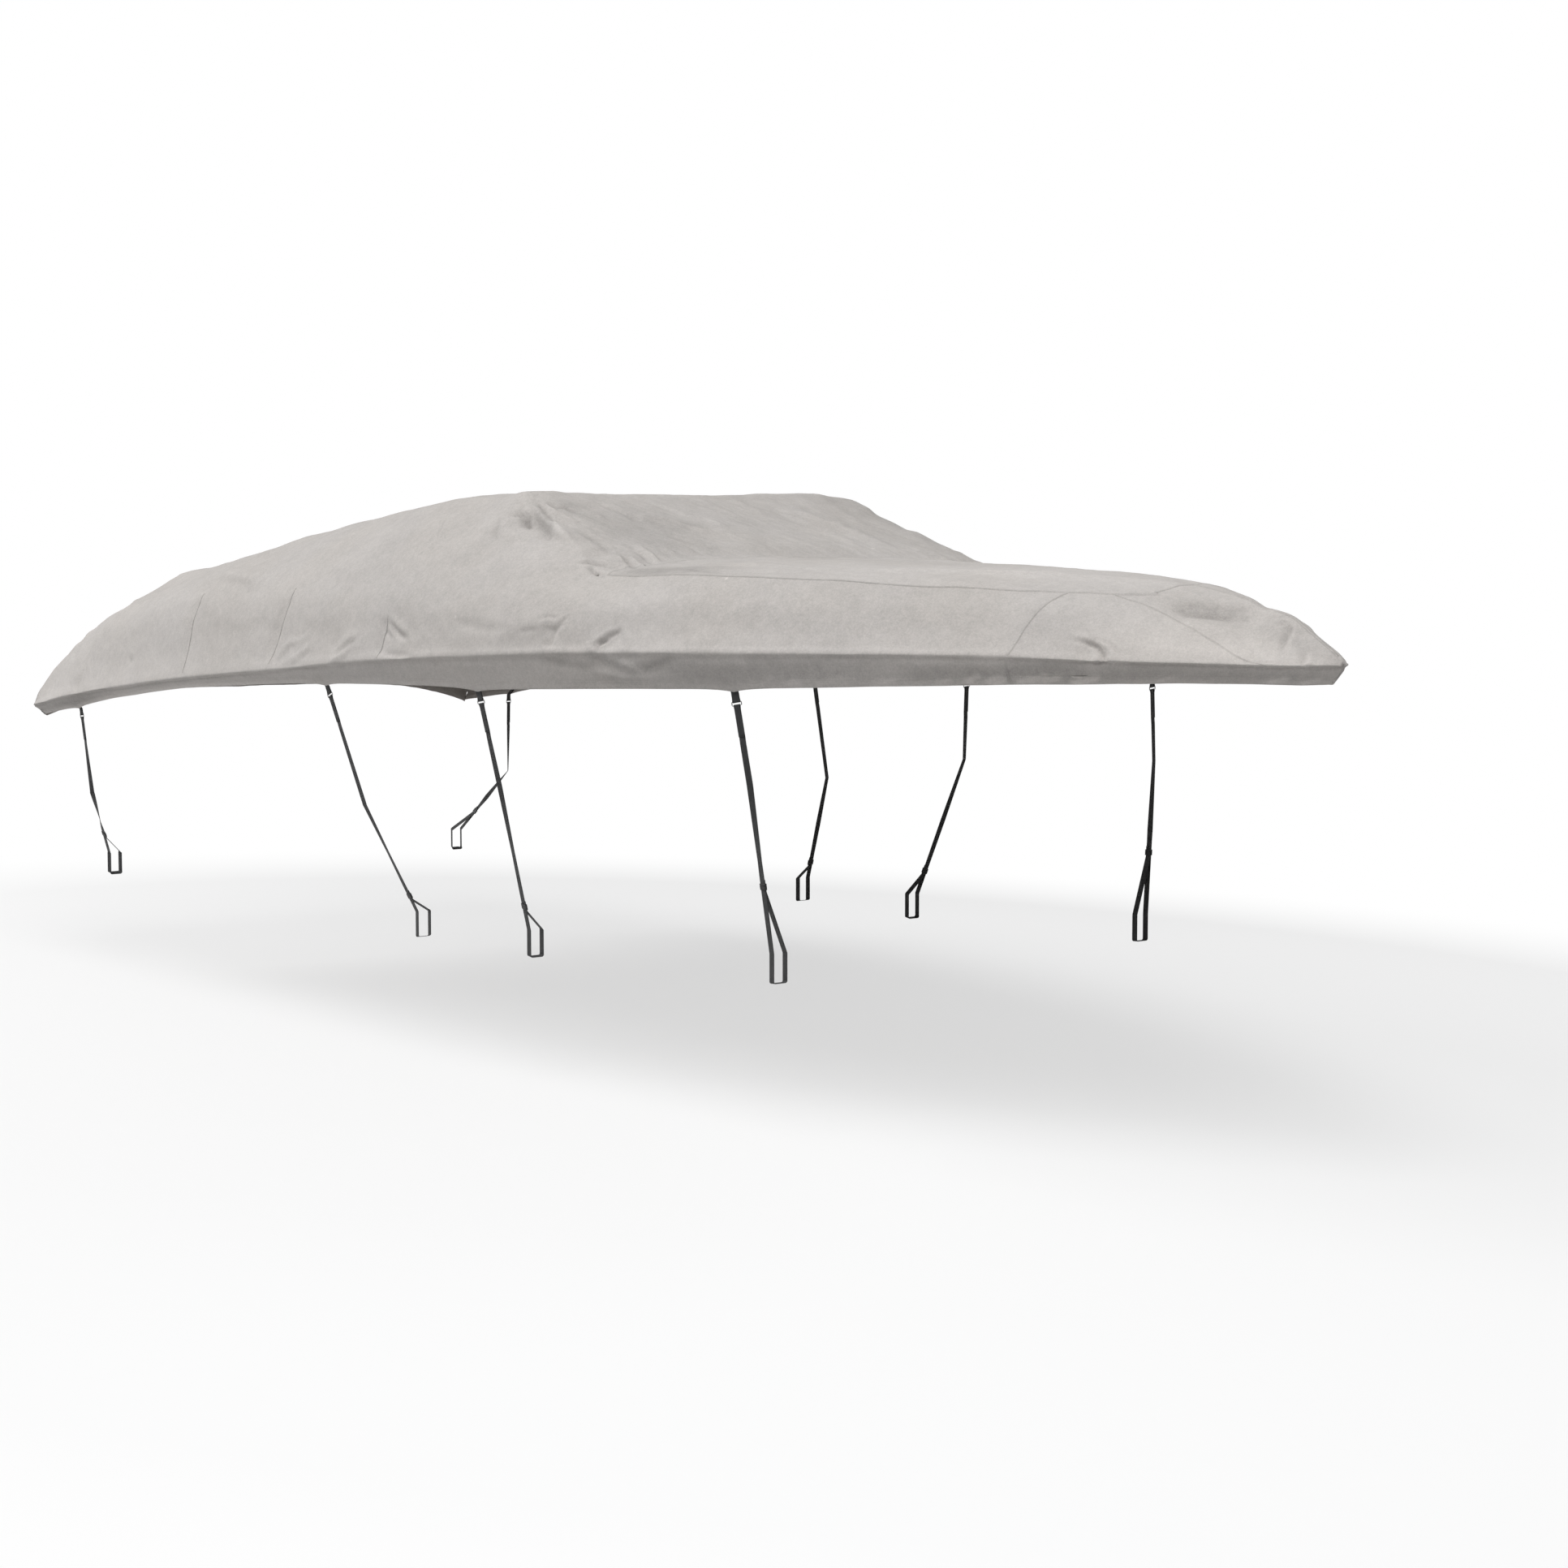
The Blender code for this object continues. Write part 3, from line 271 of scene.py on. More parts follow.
    (-1, ((6.62, 2.60), (6.50, 3.00), (6.44, 3.50)), 20, -6, 1),
    (-1, ((4.30, 4.10), (4.00, 4.30), (3.93, 4.70)), 13, 4.5, 1),
    # The port side, plainly.
    (1, ((2.16, 3.50), (2.22, 3.72), (2.20, 4.00)), 15, -10.5, 1),
    (1, ((2.84, 3.46), (2.66, 3.36), (2.52, 3.40)), 17, -7.5, 1),
    (1, ((3.50, 3.40), (3.40, 3.66)), 17, -7.5, -1),
    (1, ((3.70, 3.60), (3.84, 3.94)), 17, 7.5, -1),
    (1, ((4.96, 2.70), (4.60, 2.86)), 22, 7.5, 1),
    (1, ((0.64, 3.60), (0.56, 3.98)), 13, -9, 1),
    (1, ((3.24, 2.16), (3.10, 2.34), (2.94, 2.30)), 18, 7.5, -1),
    (1, ((6.50, 2.70), (6.34, 3.40)), 20, -6, -1),
)
CREASE_STEPS = 9  # points along each stretch of a crease
FULL_CREASE_PAINT_HEIGHT = 10.0  # millimetres of a crease whose painted shade or highlight is full

# The cloth swells at its widest edge and draws in under it: where across, how far, height.
EDGE_ROLL = ((3.94, 0.07, 0.0026), (4.11, 0.10, -0.0030))

# Short slanting wrinkles above the hem, where it is drawn tight: side, from aft, to aft, apart, width, height and how
# much painted highlight they get.
HEM_WRINKLES = (
    (-1, 1.56, 0.92, 0.060, 0.010, 0.0007, 1.3),
    (-1, 0.91, 0.54, 0.044, 0.010, 0.0010, 3.0),
    (-1, 0.42, 0.28, 0.080, 0.010, 0.0009, 2.2),
    (-1, 0.16, 0.04, 0.055, 0.010, 0.0009, 2.6),
    (1, 1.50, 0.30, 0.090, 0.014, 0.0008, 0.8),
)
HEM_WRINKLE_LEAN = 0.070  # how far forward each runs
HEM_WRINKLE_RISE = 0.32  # of the skirt that it covers

# The cloth is nowhere quite even: how high its swells are, how long, their seed, and how much closer they lie each way.
SWELLS = (
    (0.0020, 0.42, 3, (1, 1.6, 1.6)),
    (0.0007, 0.11, 8, (0.7, 1.4, 1.4)),
)
SWELLS_AT_HEM = 0.25  # of their height is left there

# Lapped seams: the panel on top, places of its free edge, how wide the sewn-down strip is, and which side of the way
# it runs it lies on, 1 for the left. The paired ones are on both sides, and given as on the port side.
SEAM_LAP, BOW_DART_LAP, DART_LAP = 0.013, 0.009, 0.007
SEAMS = (
    ("foredeck_panel", ((2.45, -2.0), (2.45, 2.0)), SEAM_LAP, -1),
    ("foredeck_panel", ((0.58, -2.0), (0.58, 2.0)), SEAM_LAP, 1),
    ("bow_side_starboard", ((0.58, -0.01), (0.02, -0.01)), SEAM_LAP, -1),
)
PAIRED_SEAMS = (
    ("main_panel", ((2.45, 2.0), (0.77, 2.0)), SEAM_LAP, 1),
    ("bow_side", ((0.77, 2.0), (0.58, 2.0)), SEAM_LAP, 1),
    ("main_panel", ((0.77, 2.0), (0.77, 4.9)), SEAM_LAP, 1),
    ("bow_side", ((0.66, 2.14), (0.53, 2.62), (0.43, 2.82), (0.31, 3.12), (0.15, 4.04)), BOW_DART_LAP, 1),
    ("main_panel", ((3.45, 3.30), (3.46, 3.97)), DART_LAP, -1),
    ("main_panel", ((4.27, 2.96), (4.28, 3.40), (4.30, 3.92)), DART_LAP, -1),
    ("main_panel", ((5.11, 2.98), (5.10, 3.40), (5.08, 3.94)), DART_LAP, -1),
)

# Grid: the furthest apart that its lines are, from each place on, and for each stretch from crown to hem.
AFT_CELLS = (
    (0.0, 0.0070), (0.66, 0.0085), (BOW_SEAM, 0.011), (1.62, 0.016), (1.95, 0.009), (FOREDECK_FOOT, 0.0075),
    (3.20, 0.013), (3.60, 0.022))
STRETCHES = (0.37, 0.37, 0.52, 0.25, 0.11)
STARBOARD_CELLS = (0.012, 0.010, 0.012, 0.0075, 0.007)
PORT_CELLS = (0.026, 0.026, 0.026, 0.022, 0.016)
HEM_TURN = 0.0022  # between the cloth and the turned-in hem
HEM_DEPTH = 0.030
SKIRT_IN = 0.045  # how far in under the widest edge the hem is


def slopes(x, y):
    """The slopes of a smooth curve through the points that never overshoots them."""
    step, rise = np.diff(x), np.diff(y) / np.diff(x)
    slope = np.zeros(len(x))
    slope[0], slope[-1] = rise[0], rise[-1]
    for i in range(1, len(x) - 1):
        if rise[i - 1] * rise[i] > 0:
            before, after = 2 * step[i] + step[i - 1], step[i] + 2 * step[i - 1]
            slope[i] = (before + after) / (before / rise[i - 1] + after / rise[i])
    return slope


SECTION = {name: np.array([row[i] for row in SECTIONS]) for i, name in enumerate(SECTION_COLUMNS)}
SLOPES = {name: slopes(SECTION["aft"], values) for name, values in SECTION.items()}


def hermite(t, start, end, leaves, arrives):
    """A cubic from start to end with the slopes it leaves and arrives with."""
    return (
        start * (1 + 2 * t) * (1 - t) ** 2
        + leaves * t * (1 - t) ** 2
        + end * t * t * (3 - 2 * t)
        - arrives * t * t * (1 - t)
    )


def size_at(name, aft):
    """One column of the sections, read smoothly at places between them."""
    x, y, slope = SECTION["aft"], SECTION[name], SLOPES[name]
    i = np.clip(np.searchsorted(x, aft, side="right") - 1, 0, len(x) - 2)
    step = x[i + 1] - x[i]
    return hermite((aft - x[i]) / step, y[i], y[i + 1], slope[i] * step, slope[i + 1] * step)


ORIGIN_UP = float(size_at("crown_z", np.array(ORIGIN_AFT))) - CLOTH
GROUND = -ORIGIN_UP


def unit(v):
    """Vectors, a row each, made one long."""
    return v / np.maximum(np.linalg.norm(v, axis=-1, keepdims=True), 1e-9)


def outward(aft):
    """The way out of the widest edge in plan, as (forward, sideways)."""
    near = 0.004
    ahead, behind = np.clip(aft + near, 0, LENGTH), np.clip(aft - near, 0, LENGTH)
    rise = (size_at("edge_y", ahead) - size_at("edge_y", behind)) / (2 * near)
    way = unit(np.stack([np.maximum(rise, 0), np.ones_like(rise)], -1))
    way[aft <= 0] = (1, 0)
    way[aft >= LENGTH] = (-1, 1)
    return way


def along_hull(aft, across):
    """Places on the cloth before its folds, forward of the stern's drop."""
    at = {name: size_at(name, aft) for name in SECTION_COLUMNS[1:]}
    out = outward(aft)
    knots = np.stack([
        np.stack([at["edge_y"] - out[:, 1] * at["hem_in"], at["edge_z"] - at["hem_drop"]], -1),
        np.stack([at["edge_y"], at["edge_z"]], -1),
        np.stack([at["haunch_y"], at["haunch_z"]], -1),
        np.stack([at["deck_y"], at["deck_z"]], -1),
        np.stack([at["deck_y"] / 2, at["top_z"]], -1),
        np.stack([np.zeros_like(aft), at["crown_z"]], -1),
    ], 1)
    v = HEM - np.abs(across)
    k = np.clip(v.astype(int), 0, HEM - 1)
    t = (v - k)[:, None]
    chords = np.diff(knots, axis=1)
    ways = unit(chords)
    bends = unit(ways[:, :-1] + ways[:, 1:])
    sharp = at["sharp"][:, None]
    into_deck = unit(bends[:, 2] * (1 - sharp) + ways[:, 2] * sharp)
    from_deck = unit(bends[:, 2] * (1 - sharp) + ways[:, 3] * sharp)
    level = np.broadcast_to(np.array((-1.0, 0.0)), into_deck.shape)
    starts = np.stack([ways[:, 0], ways[:, 1], bends[:, 1], from_deck, bends[:, 3]], 1)
    ends = np.stack([ways[:, 0], bends[:, 1], into_deck, bends[:, 3], level], 1)
    row = np.arange(len(aft))
    size = np.linalg.norm(chords, axis=-1)[row, k][:, None]
    yz = hermite(t, knots[row, k], knots[row, k + 1], starts[row, k] * size, ends[row, k] * size)
    tuck = out[:, 0] * at["hem_in"] * np.maximum(1 - v, 0)
    return np.stack([ORIGIN_AFT - aft - tuck, np.copysign(yz[:, 0], across), yz[:, 1] - ORIGIN_UP], -1)


def down_stern(row, across):
    """Places on the stern's drop: rows 0 to 1 go from the last section to the edge line, and the rest to the hem."""
    end = np.full_like(across, LENGTH)
    top = along_hull(end, across)
    edge = along_hull(end, np.copysign(float(EDGE), across))
    hem = along_hull(end, np.copysign(float(HEM), across))
    camber = TRANSOM_CAMBER * (1 - (top[:, 1] / edge[:, 1]) ** 4)
    t = np.clip(row, 0, 1)
    s = np.clip((row - 1) / (TRANSOM_ROWS - 1), 0, 1)
    return np.stack([
        top[:, 0] + (hem[:, 0] - edge[:, 0]) * s,
        top[:, 1] * (1 + (hem[:, 1] / edge[:, 1] - 1) * s),
        top[:, 2] + (edge[:, 2] + camber - top[:, 2]) * t + (hem[:, 2] - edge[:, 2]) * s,
    ], -1)


def base(aft, across):
    """Places on the cloth before its folds."""
    aft, across = (np.asarray(a, float).ravel() for a in np.broadcast_arrays(aft, across))
    places = along_hull(np.minimum(aft, LENGTH), across)
    stern = aft > LENGTH
    if stern.any():
        places[stern] = down_stern((aft[stern] - LENGTH) / TRANSOM_ROW, across[stern])
    return places


def base_normals(aft, across):
    """The way out of the cloth before its folds."""
    step = 0.004
    along = base(aft + step, across) - base(np.maximum(aft - step, 0), across)
    over = base(aft, across - step) - base(aft, across + step)
    return unit(np.cross(along, over))


def smooth(t):
    t = np.clip(t, 0, 1)
    return t * t * (3 - 2 * t)


def through(places, steps):
    """A smooth run of (aft, across) through the places."""
    places = np.array(places, float)
    if len(places) == 2:
        return places[0] + (places[1] - places[0]) * np.linspace(0, 1, steps + 1)[:, None]
    way = np.gradient(places, axis=0)
    run = [
        hermite(t, places[i], places[i + 1], way[i], way[i + 1])
        for i in range(len(places) - 1) for t in np.linspace(0, 1, steps, endpoint=False)
    ]
    return np.array(run + [places[-1]])


def from_line(points, normals, path):
    """How far points are from a line, to its left if positive, and how far along it they are, from 0 to 1."""
    a, d = path[:-1], np.diff(path, axis=0)
    gap = points[:, None] - a
    t = np.clip((gap * d).sum(-1) / np.maximum((d * d).sum(-1), 1e-12), 0, 1)
    gap = gap - t[..., None] * d
    far = np.linalg.norm(gap, axis=-1)
    i = far.argmin(1)
    row = np.arange(len(points))
    left = np.cross(normals, d[i])
    side = np.where((left * gap[row, i]).sum(-1) < 0, -1, 1)
    return far[row, i] * side, (i + t[row, i]) / len(a)


def sides_of(side):
    return (STARBOARD, PORT) if side == 0 else (side,)


def path_on(places, side, steps=CREASE_STEPS):
    """A smooth line on the cloth before its folds."""
    run = through(places, steps)
    return base(run[:, 0], side * run[:, 1])


def creases():
    """The creases as (path, width, height, lean, share of painted shade or highlight)."""
    found = [
        (path_on(places, each), width / 1000, height / 1000, lean * -each, height / FULL_CREASE_PAINT_HEIGHT)
        for side, places, width, height, lean in CREASES for each in sides_of(side)]
    for side, start, end, apart, width, height, painted_share in HEM_WRINKLES:
        for i in range(int((start - end) / apart)):
            aft = start - apart * i - 0.4 * apart * math.sin(2.3 * i)
            rise = HEM_WRINKLE_RISE * (1 + 0.35 * math.sin(1.7 * i + 1))
            lean = HEM_WRINKLE_LEAN * (1 + 0.3 * math.sin(3.1 * i))
            path = path_on(((aft, HEM - 0.03), (aft - lean, HEM - rise)), side)
            found.append((path, width, height * (1 + 0.4 * math.sin(5.3 * i)), 0, painted_share))
    return found


PART_FOLDS = [
    (path_on((start, end), each, 6), width, height)
    for side, start, end, width, height in FOLDS for each in sides_of(side)]
CREASE_LINES = creases()


def waves(points, size, seed, count=28):
    """A smooth uneven field, about one high, with swells of about this size."""
    random = np.random.default_rng(seed)
    way = unit(random.normal(size=(count, 3)))
    turns = way * (2 * math.pi / size) * random.uniform(0.6, 1.5, (count, 1))
    start = random.uniform(0, 2 * math.pi, count)
    return np.sin(points @ turns.T + start).sum(-1) / math.sqrt(count / 2)


def strap_pull(aft, across):
    """How much the straps draw the cloth at these places, from 0 to 1."""
    share = np.clip(np.abs(across) - EDGE, 0, 1)
    pulls = np.max([np.exp(-np.abs(aft - row[1]) / HEM_PULL_REACH) for row in STRAPS], axis=0)
    return np.where(aft <= LENGTH, pulls * share * share, 0)


def lines_near(points, normals, lines, reach):
    """Each line that has points within so many widths of it, with those points, how many widths they are off, to its
    left if positive, and how much of its length there is to its nearer end."""
    for line in lines:
        path, width = line[:2]
        low, high = path.min(0) - reach * width, path.max(0) + reach * width
        k = np.flatnonzero(((points >= low) & (points <= high)).all(-1))
        if len(k):
            gap, along = from_line(points[k], normals[k], path)
            yield line, k, gap / width, np.minimum(along, 1 - along)


# The share of a crease's height that its companions on the left and right take, by its lean.
COMPANIONS = {1: (0.45, 0.05), -1: (0.05, 0.45), 0: (0.22, 0.22)}


def cover(aft, across, lift=0.0):
    """Places on the cloth with its folds, creases and unevenness, and its normals before them."""
    aft, across = (np.asarray(a, float).ravel() for a in np.broadcast_arrays(aft, across))
    points, normals = base(aft, across), base_normals(aft, across)
    out = np.zeros(len(points))
    for (_, _, height), k, gap, end in lines_near(points, normals, PART_FOLDS, 3):
        out[k] += height * np.exp(-gap ** 2) * smooth(4 * end)
    for (_, _, height, lean, _), k, gap, end in lines_near(points, normals, CREASE_LINES, 5):
        ridge = np.exp(-gap ** 2)
        for share, side in zip(COMPANIONS[lean], (1, -1)):
            ridge = ridge - share * np.exp(-((gap - side * 1.9) / 1.3) ** 2)
        out[k] += height * ridge * smooth(3.2 * end)
    over = np.abs(across)
    for place, reach, height in EDGE_ROLL:
        out += np.where(aft <= LENGTH, height * np.exp(-(((over - place) / reach) ** 2)), 0)
    loose = SWELLS_AT_HEM + (1 - SWELLS_AT_HEM) * smooth((HEM - over) / 0.8)
    out += loose * sum(height * waves(points * closer, long, seed) for height, long, seed, closer in SWELLS)
    hem, edge = (base(np.minimum(aft, LENGTH), np.copysign(float(row), across)) for row in (HEM, EDGE))
    pull = unit(hem - edge) * (HEM_PULL * strap_pull(aft, across))[:, None]
    return points + normals * (out + lift)[:, None] + pull, normals


# Bounds of the painted shade in a crease's trough and of the painted highlight on its ridge.
DEEPEST_CREASE_SHADE, BRIGHTEST_CREASE_HIGHLIGHT = -1.6, 3.0


def worn(aft, across):
    """Painted highlight on the creases' ridges, and below 0 painted shade in their troughs."""
    points, normals = base(aft, across), base_normals(aft, across)
    out = np.zeros(len(points))
    for (*_, painted_share), k, gap, end in lines_near(points, normals, CREASE_LINES, 2.5):
        out[k] += painted_share * np.exp(-gap ** 2) * smooth(3.2 * end)
    return np.clip(out, DEEPEST_CREASE_SHADE, BRIGHTEST_CREASE_HIGHLIGHT)


# ---------------------------------------------------------------------------------------------------------------
# Cloth panels.


def aft_lines():
    stops = sorted({FOREDECK_TIP, LENGTH, *(start for start, _ in AFT_CELLS), *(row[1] for row in STRAPS)})
    lines = [stops[0]]
    for stop in stops[1:]:
        cell = [cell for start, cell in AFT_CELLS if start < stop][-1]
        count = math.ceil((stop - lines[-1]) / cell - 1e-6)
        lines += [lines[-1] + (stop - lines[-1]) * (i + 1) / count for i in range(count)]
    drop = [LENGTH + TRANSOM_ROW * t for t in np.linspace(0, 1, 14)[1:]]
    skirt = [LENGTH + TRANSOM_ROW * t for t in np.linspace(1, TRANSOM_ROWS, 6)[1:]]
    return np.array(lines + drop + skirt)


def across_lines():
    def half(cells):
        lines = [0.0]
        for k, (stretch, cell) in enumerate(zip(STRETCHES, cells)):
            count = math.ceil(stretch / cell)
            lines += [k + (i + 1) / count for i in range(count)]
        return lines

    return np.array([-s for s in half(STARBOARD_CELLS)[:0:-1]] + half(PORT_CELLS))


def panel_of(aft, across):
    """Which panel each cell belongs to, by its middle."""
    names = np.full(aft.shape, "main_panel", dtype=object)
    bow = aft < BOW_SEAM
    names[bow & (across > 0)] = "bow_side_port"
    names[bow & (across < 0)] = "bow_side_starboard"
    names[(aft > FOREDECK_TIP) & (aft < FOREDECK_FOOT) & (np.abs(across) < DECK)] = "foredeck_panel"
    names[(aft > LENGTH) & (np.abs(across) > EDGE)] = ""
    return names


def linked(name, data):
    """A new object, in the scene."""
    obj = bpy.data.objects.new(name, data)
    bpy.context.scene.collection.objects.link(obj)
    return obj


def shaped(name, points, faces, material, maps=None, corners=None):
    """A smooth mesh. Its maps have a value for each point, and corners are the points whose values its corners take."""
    mesh = bpy.data.meshes.new(name)
    mesh.from_pydata(np.asarray(points, float).tolist(), [], faces)
    if corners is None:
        corners = [v for face in faces for v in face]
    for label, values in (maps or {}).items():
        layer = mesh.uv_layers.new(name=label)
        layer.data.foreach_set("uv", values[corners].astype(np.float32).ravel())
    mesh.polygons.foreach_set("use_smooth", np.ones(len(mesh.polygons), bool))
    mesh.materials.append(material)
    mesh.update()
    return linked(name, mesh)


class Piece:
    """A mesh being put together, with maps of its weave, of its stitching (distance along, and from the hem, or
    LAP_MARK more than from a lap's free edge), of its places (aft, across) and of the painted shade and highlight of
    its creases."""

    def __init__(self):
        self.points, self.faces, self.maps = [], [], {"Weave": [], "Stitch": [], "Place": [], "Worn": []}
        self.count = 0

    def add(self, points, faces, **maps):
        crease_light = worn(*np.asarray(maps["place"], float).T)
        maps["worn"] = np.stack([crease_light, crease_light], -1)
        self.points.append(np.asarray(points, float))
        self.faces.append(np.asarray(faces, int) + self.count)
        for label, values in maps.items():
            self.maps[label.capitalize()].append(np.asarray(values, float))
        self.count += len(points)

    def make(self, name, material):
        """Joins points that meet, and leaves out cells that shrink to a line there."""
        points, faces = np.concatenate(self.points), np.concatenate(self.faces)
        _, first, same = np.unique(np.round(points, 5), axis=0, return_index=True, return_inverse=True)
        merged = first[same.ravel()][faces]
        whole = (merged == np.roll(merged, 1, 1)).sum(1) < 2
        rows = [list(dict.fromkeys(row)) for row in merged[whole].tolist()]
        used = np.unique(np.concatenate(rows))
        index = np.full(len(points), -1)
        index[used] = np.arange(len(used))
        corners = [
            old for row, kept in zip(faces[whole].tolist(), rows) for old in (row if len(kept) == 4 else kept)]
        maps = {label: np.concatenate(values) for label, values in self.maps.items()}
        return shaped(name, points[used], [index[row].tolist() for row in rows], material, maps, corners)


def grid_faces(rows, columns):
    """Quads of a grid of points, row by row."""
    i, j = np.meshgrid(np.arange(rows - 1), np.arange(columns - 1), indexing="ij")
    a = i * columns + j
    return np.stack([a, a + 1, a + columns + 1, a + columns], -1)


def far_along(points):
    """Distance from the first row of points, row by row."""
    steps = np.linalg.norm(np.diff(points, axis=0), axis=-1)
    return np.concatenate([np.zeros((1, *steps.shape[1:])), np.cumsum(steps, 0)])


def strips(at, offs):
    """Map values for rows that run side by side: how far along, and how far off each row is."""
    return np.concatenate([np.stack([at, np.full(len(at), off)], -1) for off in offs])


def cloth_grid(pieces):
    """Fills the panels with their cells."""
    aft, across = aft_lines(), across_lines()
    a, s = np.meshgrid(aft, across, indexing="ij")
    shape = a.shape
    points, normals = (rows.reshape(*shape, 3) for rows in cover(a, s))
    names = panel_of((a[:-1, :-1] + a[1:, 1:]) / 2, (s[:-1, :-1] + s[1:, 1:]) / 2)
    warp = np.broadcast_to(far_along(points)[:, [len(across) // 2]], shape)
    weft = far_along(points.transpose(1, 0, 2)).T
    weft = weft - weft[:, [int(np.argmin(np.abs(across)))]]
    hem = np.where(
        a > LENGTH, (TRANSOM_ROWS - (a - LENGTH) / TRANSOM_ROW) / (TRANSOM_ROWS - 1), HEM - np.abs(s))
    skirt = np.hypot(size_at("hem_drop", np.minimum(a, LENGTH).ravel()).reshape(shape), SKIRT_IN)
    along = np.where(a > LENGTH, points[..., 1], warp)
    maps = {"weave": (warp, weft), "stitch": (along, np.minimum(hem, 1) * skirt), "place": (a, s)}
    faces = grid_faces(*shape)
    for name, piece in pieces.items():
        chosen = faces[names == name]
        used = np.unique(chosen)
        index = np.zeros(a.size, int)
        index[used] = np.arange(len(used))
        piece.add(points.reshape(-1, 3)[used], index[chosen], **{
            label: np.stack(pair, -1).reshape(-1, 2)[used] for label, pair in maps.items()})
    hull = aft <= LENGTH
    for side, column, inner in ((STARBOARD, 0, 1), (PORT, -1, -2)):
        line = points[hull, column]
        rows = hem_rows(line, unit(points[hull, inner] - line), normals[hull, column])
        place = np.stack([aft[hull], np.full_like(aft[hull], side * HEM)], -1)
        bow = (place[1:, 0] + place[:-1, 0]) / 2 < BOW_SEAM
        for name, chosen in ((f"bow_side_{SIDE_NAMES[side]}", bow), ("main_panel", ~bow)):
            add_hem(pieces[name], rows, warp[hull, column], place, chosen)
    inside = np.abs(across) <= EDGE
    line, before = points[-1][inside], points[-2][inside]
    rows = hem_rows(line, unit(before - line), np.broadcast_to(np.array((-1.0, 0.0, 0.0)), line.shape))
    place = np.stack([np.full(len(line), LENGTH + TRANSOM_ROWS * TRANSOM_ROW), across[inside]], -1)
    add_hem(pieces["main_panel"], rows, line[:, 1], place, np.ones(len(line) - 1, bool))


# The hem turned in and up behind the cloth, a row of points each: how far up and in it is, as shares of HEM_TURN, and
# how far from the hem its stitching is counted.
HEM_ROWS = (
    (0, 0, 0.0), (-0.5, 0.25, 0.0), (-0.5, 0.85, 0.001), (0, 1.1, 0.002), (HEM_DEPTH / HEM_TURN, 1.1, HEM_DEPTH))


def hem_rows(line, up, out):
    return [line + up * (rise * HEM_TURN) - out * (inward * HEM_TURN) for rise, inward, _ in HEM_ROWS]


def add_hem(piece, rows, along, place, chosen):
    faces = grid_faces(len(rows), len(along))[:, chosen].reshape(-1, 4)
    far = np.array([far for *_, far in HEM_ROWS])
    piece.add(
        np.concatenate(rows), faces, weave=strips(along, -far), stitch=strips(along, far),
        place=np.tile(place, (len(rows), 1)))


LAP_MARK, DART_MARK = 0.2, 0.3
LAP_PROFILE = np.array(((0.0, -0.0008), (0.06, 0.0006), (0.35, 0.0009), (0.75, 0.0005), (1.0, -0.0010)))
LAP_LIFT = 0.0006
LAP_STEP = 0.011


def lap(piece, side, places, width, towards):
    """A lapped seam: the panel's edge, turned under and sewn down over its neighbour."""
    run = through(places, 24)
    far = far_along(base(run[:, 0], side * run[:, 1]))
    count = max(4, math.ceil(far[-1] / LAP_STEP))
    at = np.linspace(0, far[-1], count + 1)
    aft, across = np.interp(at, far, run[:, 0]), side * np.interp(at, far, run[:, 1])
    left = np.cross(base_normals(aft, across), unit(np.gradient(base(aft, across), axis=0))) * towards
    step = 0.002
    by_aft = (base(aft + step, across) - base(aft - step, across)) / (2 * step)
    by_across = (base(aft, across + step) - base(aft, across - step)) / (2 * step)
    aa, ss, cross = (by_aft ** 2).sum(-1), (by_across ** 2).sum(-1), (by_aft * by_across).sum(-1)
    det = np.maximum(aa * ss - cross ** 2, 1e-9)
    taper = 1 if width == SEAM_LAP else smooth(6 * np.minimum(at, far[-1] - at) / far[-1])
    rows, place = [], []
    for share, height in LAP_PROFILE:
        move = left * np.broadcast_to(width * taper * share, at.shape)[:, None]
        ma, ms = (move * by_aft).sum(-1), (move * by_across).sum(-1)
        moved = aft + (ma * ss - ms * cross) / det, across + (ms * aa - ma * cross) / det
        rows.append(cover(*moved, lift=height + LAP_LIFT)[0])
        place.append(np.stack(moved, -1))
    faces = grid_faces(len(rows), count + 1).reshape(-1, 4)[:, ::towards]
    mark = DART_MARK if width == DART_LAP else LAP_MARK
    off = width * LAP_PROFILE[:, 0]
    piece.add(
        np.concatenate(rows), faces, weave=strips(at, off), stitch=strips(at, mark + off), place=np.concatenate(place))


# ---------------------------------------------------------------------------------------------------------------
# Materials.


class Value:
    """A number or vector in a tree of nodes, for use with the usual signs."""

    def __init__(self, nodes, socket):
        self.nodes, self.socket = nodes, socket

    def __add__(self, other):
        return self.nodes.math("ADD", self, other)

    def __sub__(self, other):
        return self.nodes.math("SUBTRACT", self, other)

    def __rsub__(self, other):
        return self.nodes.math("SUBTRACT", other, self)

    def __mul__(self, other):
        return self.nodes.math("MULTIPLY", self, other)

    def __truediv__(self, other):
        return self.nodes.math("DIVIDE", self, other)

    def __abs__(self):
        return self.nodes.math("ABSOLUTE", self)


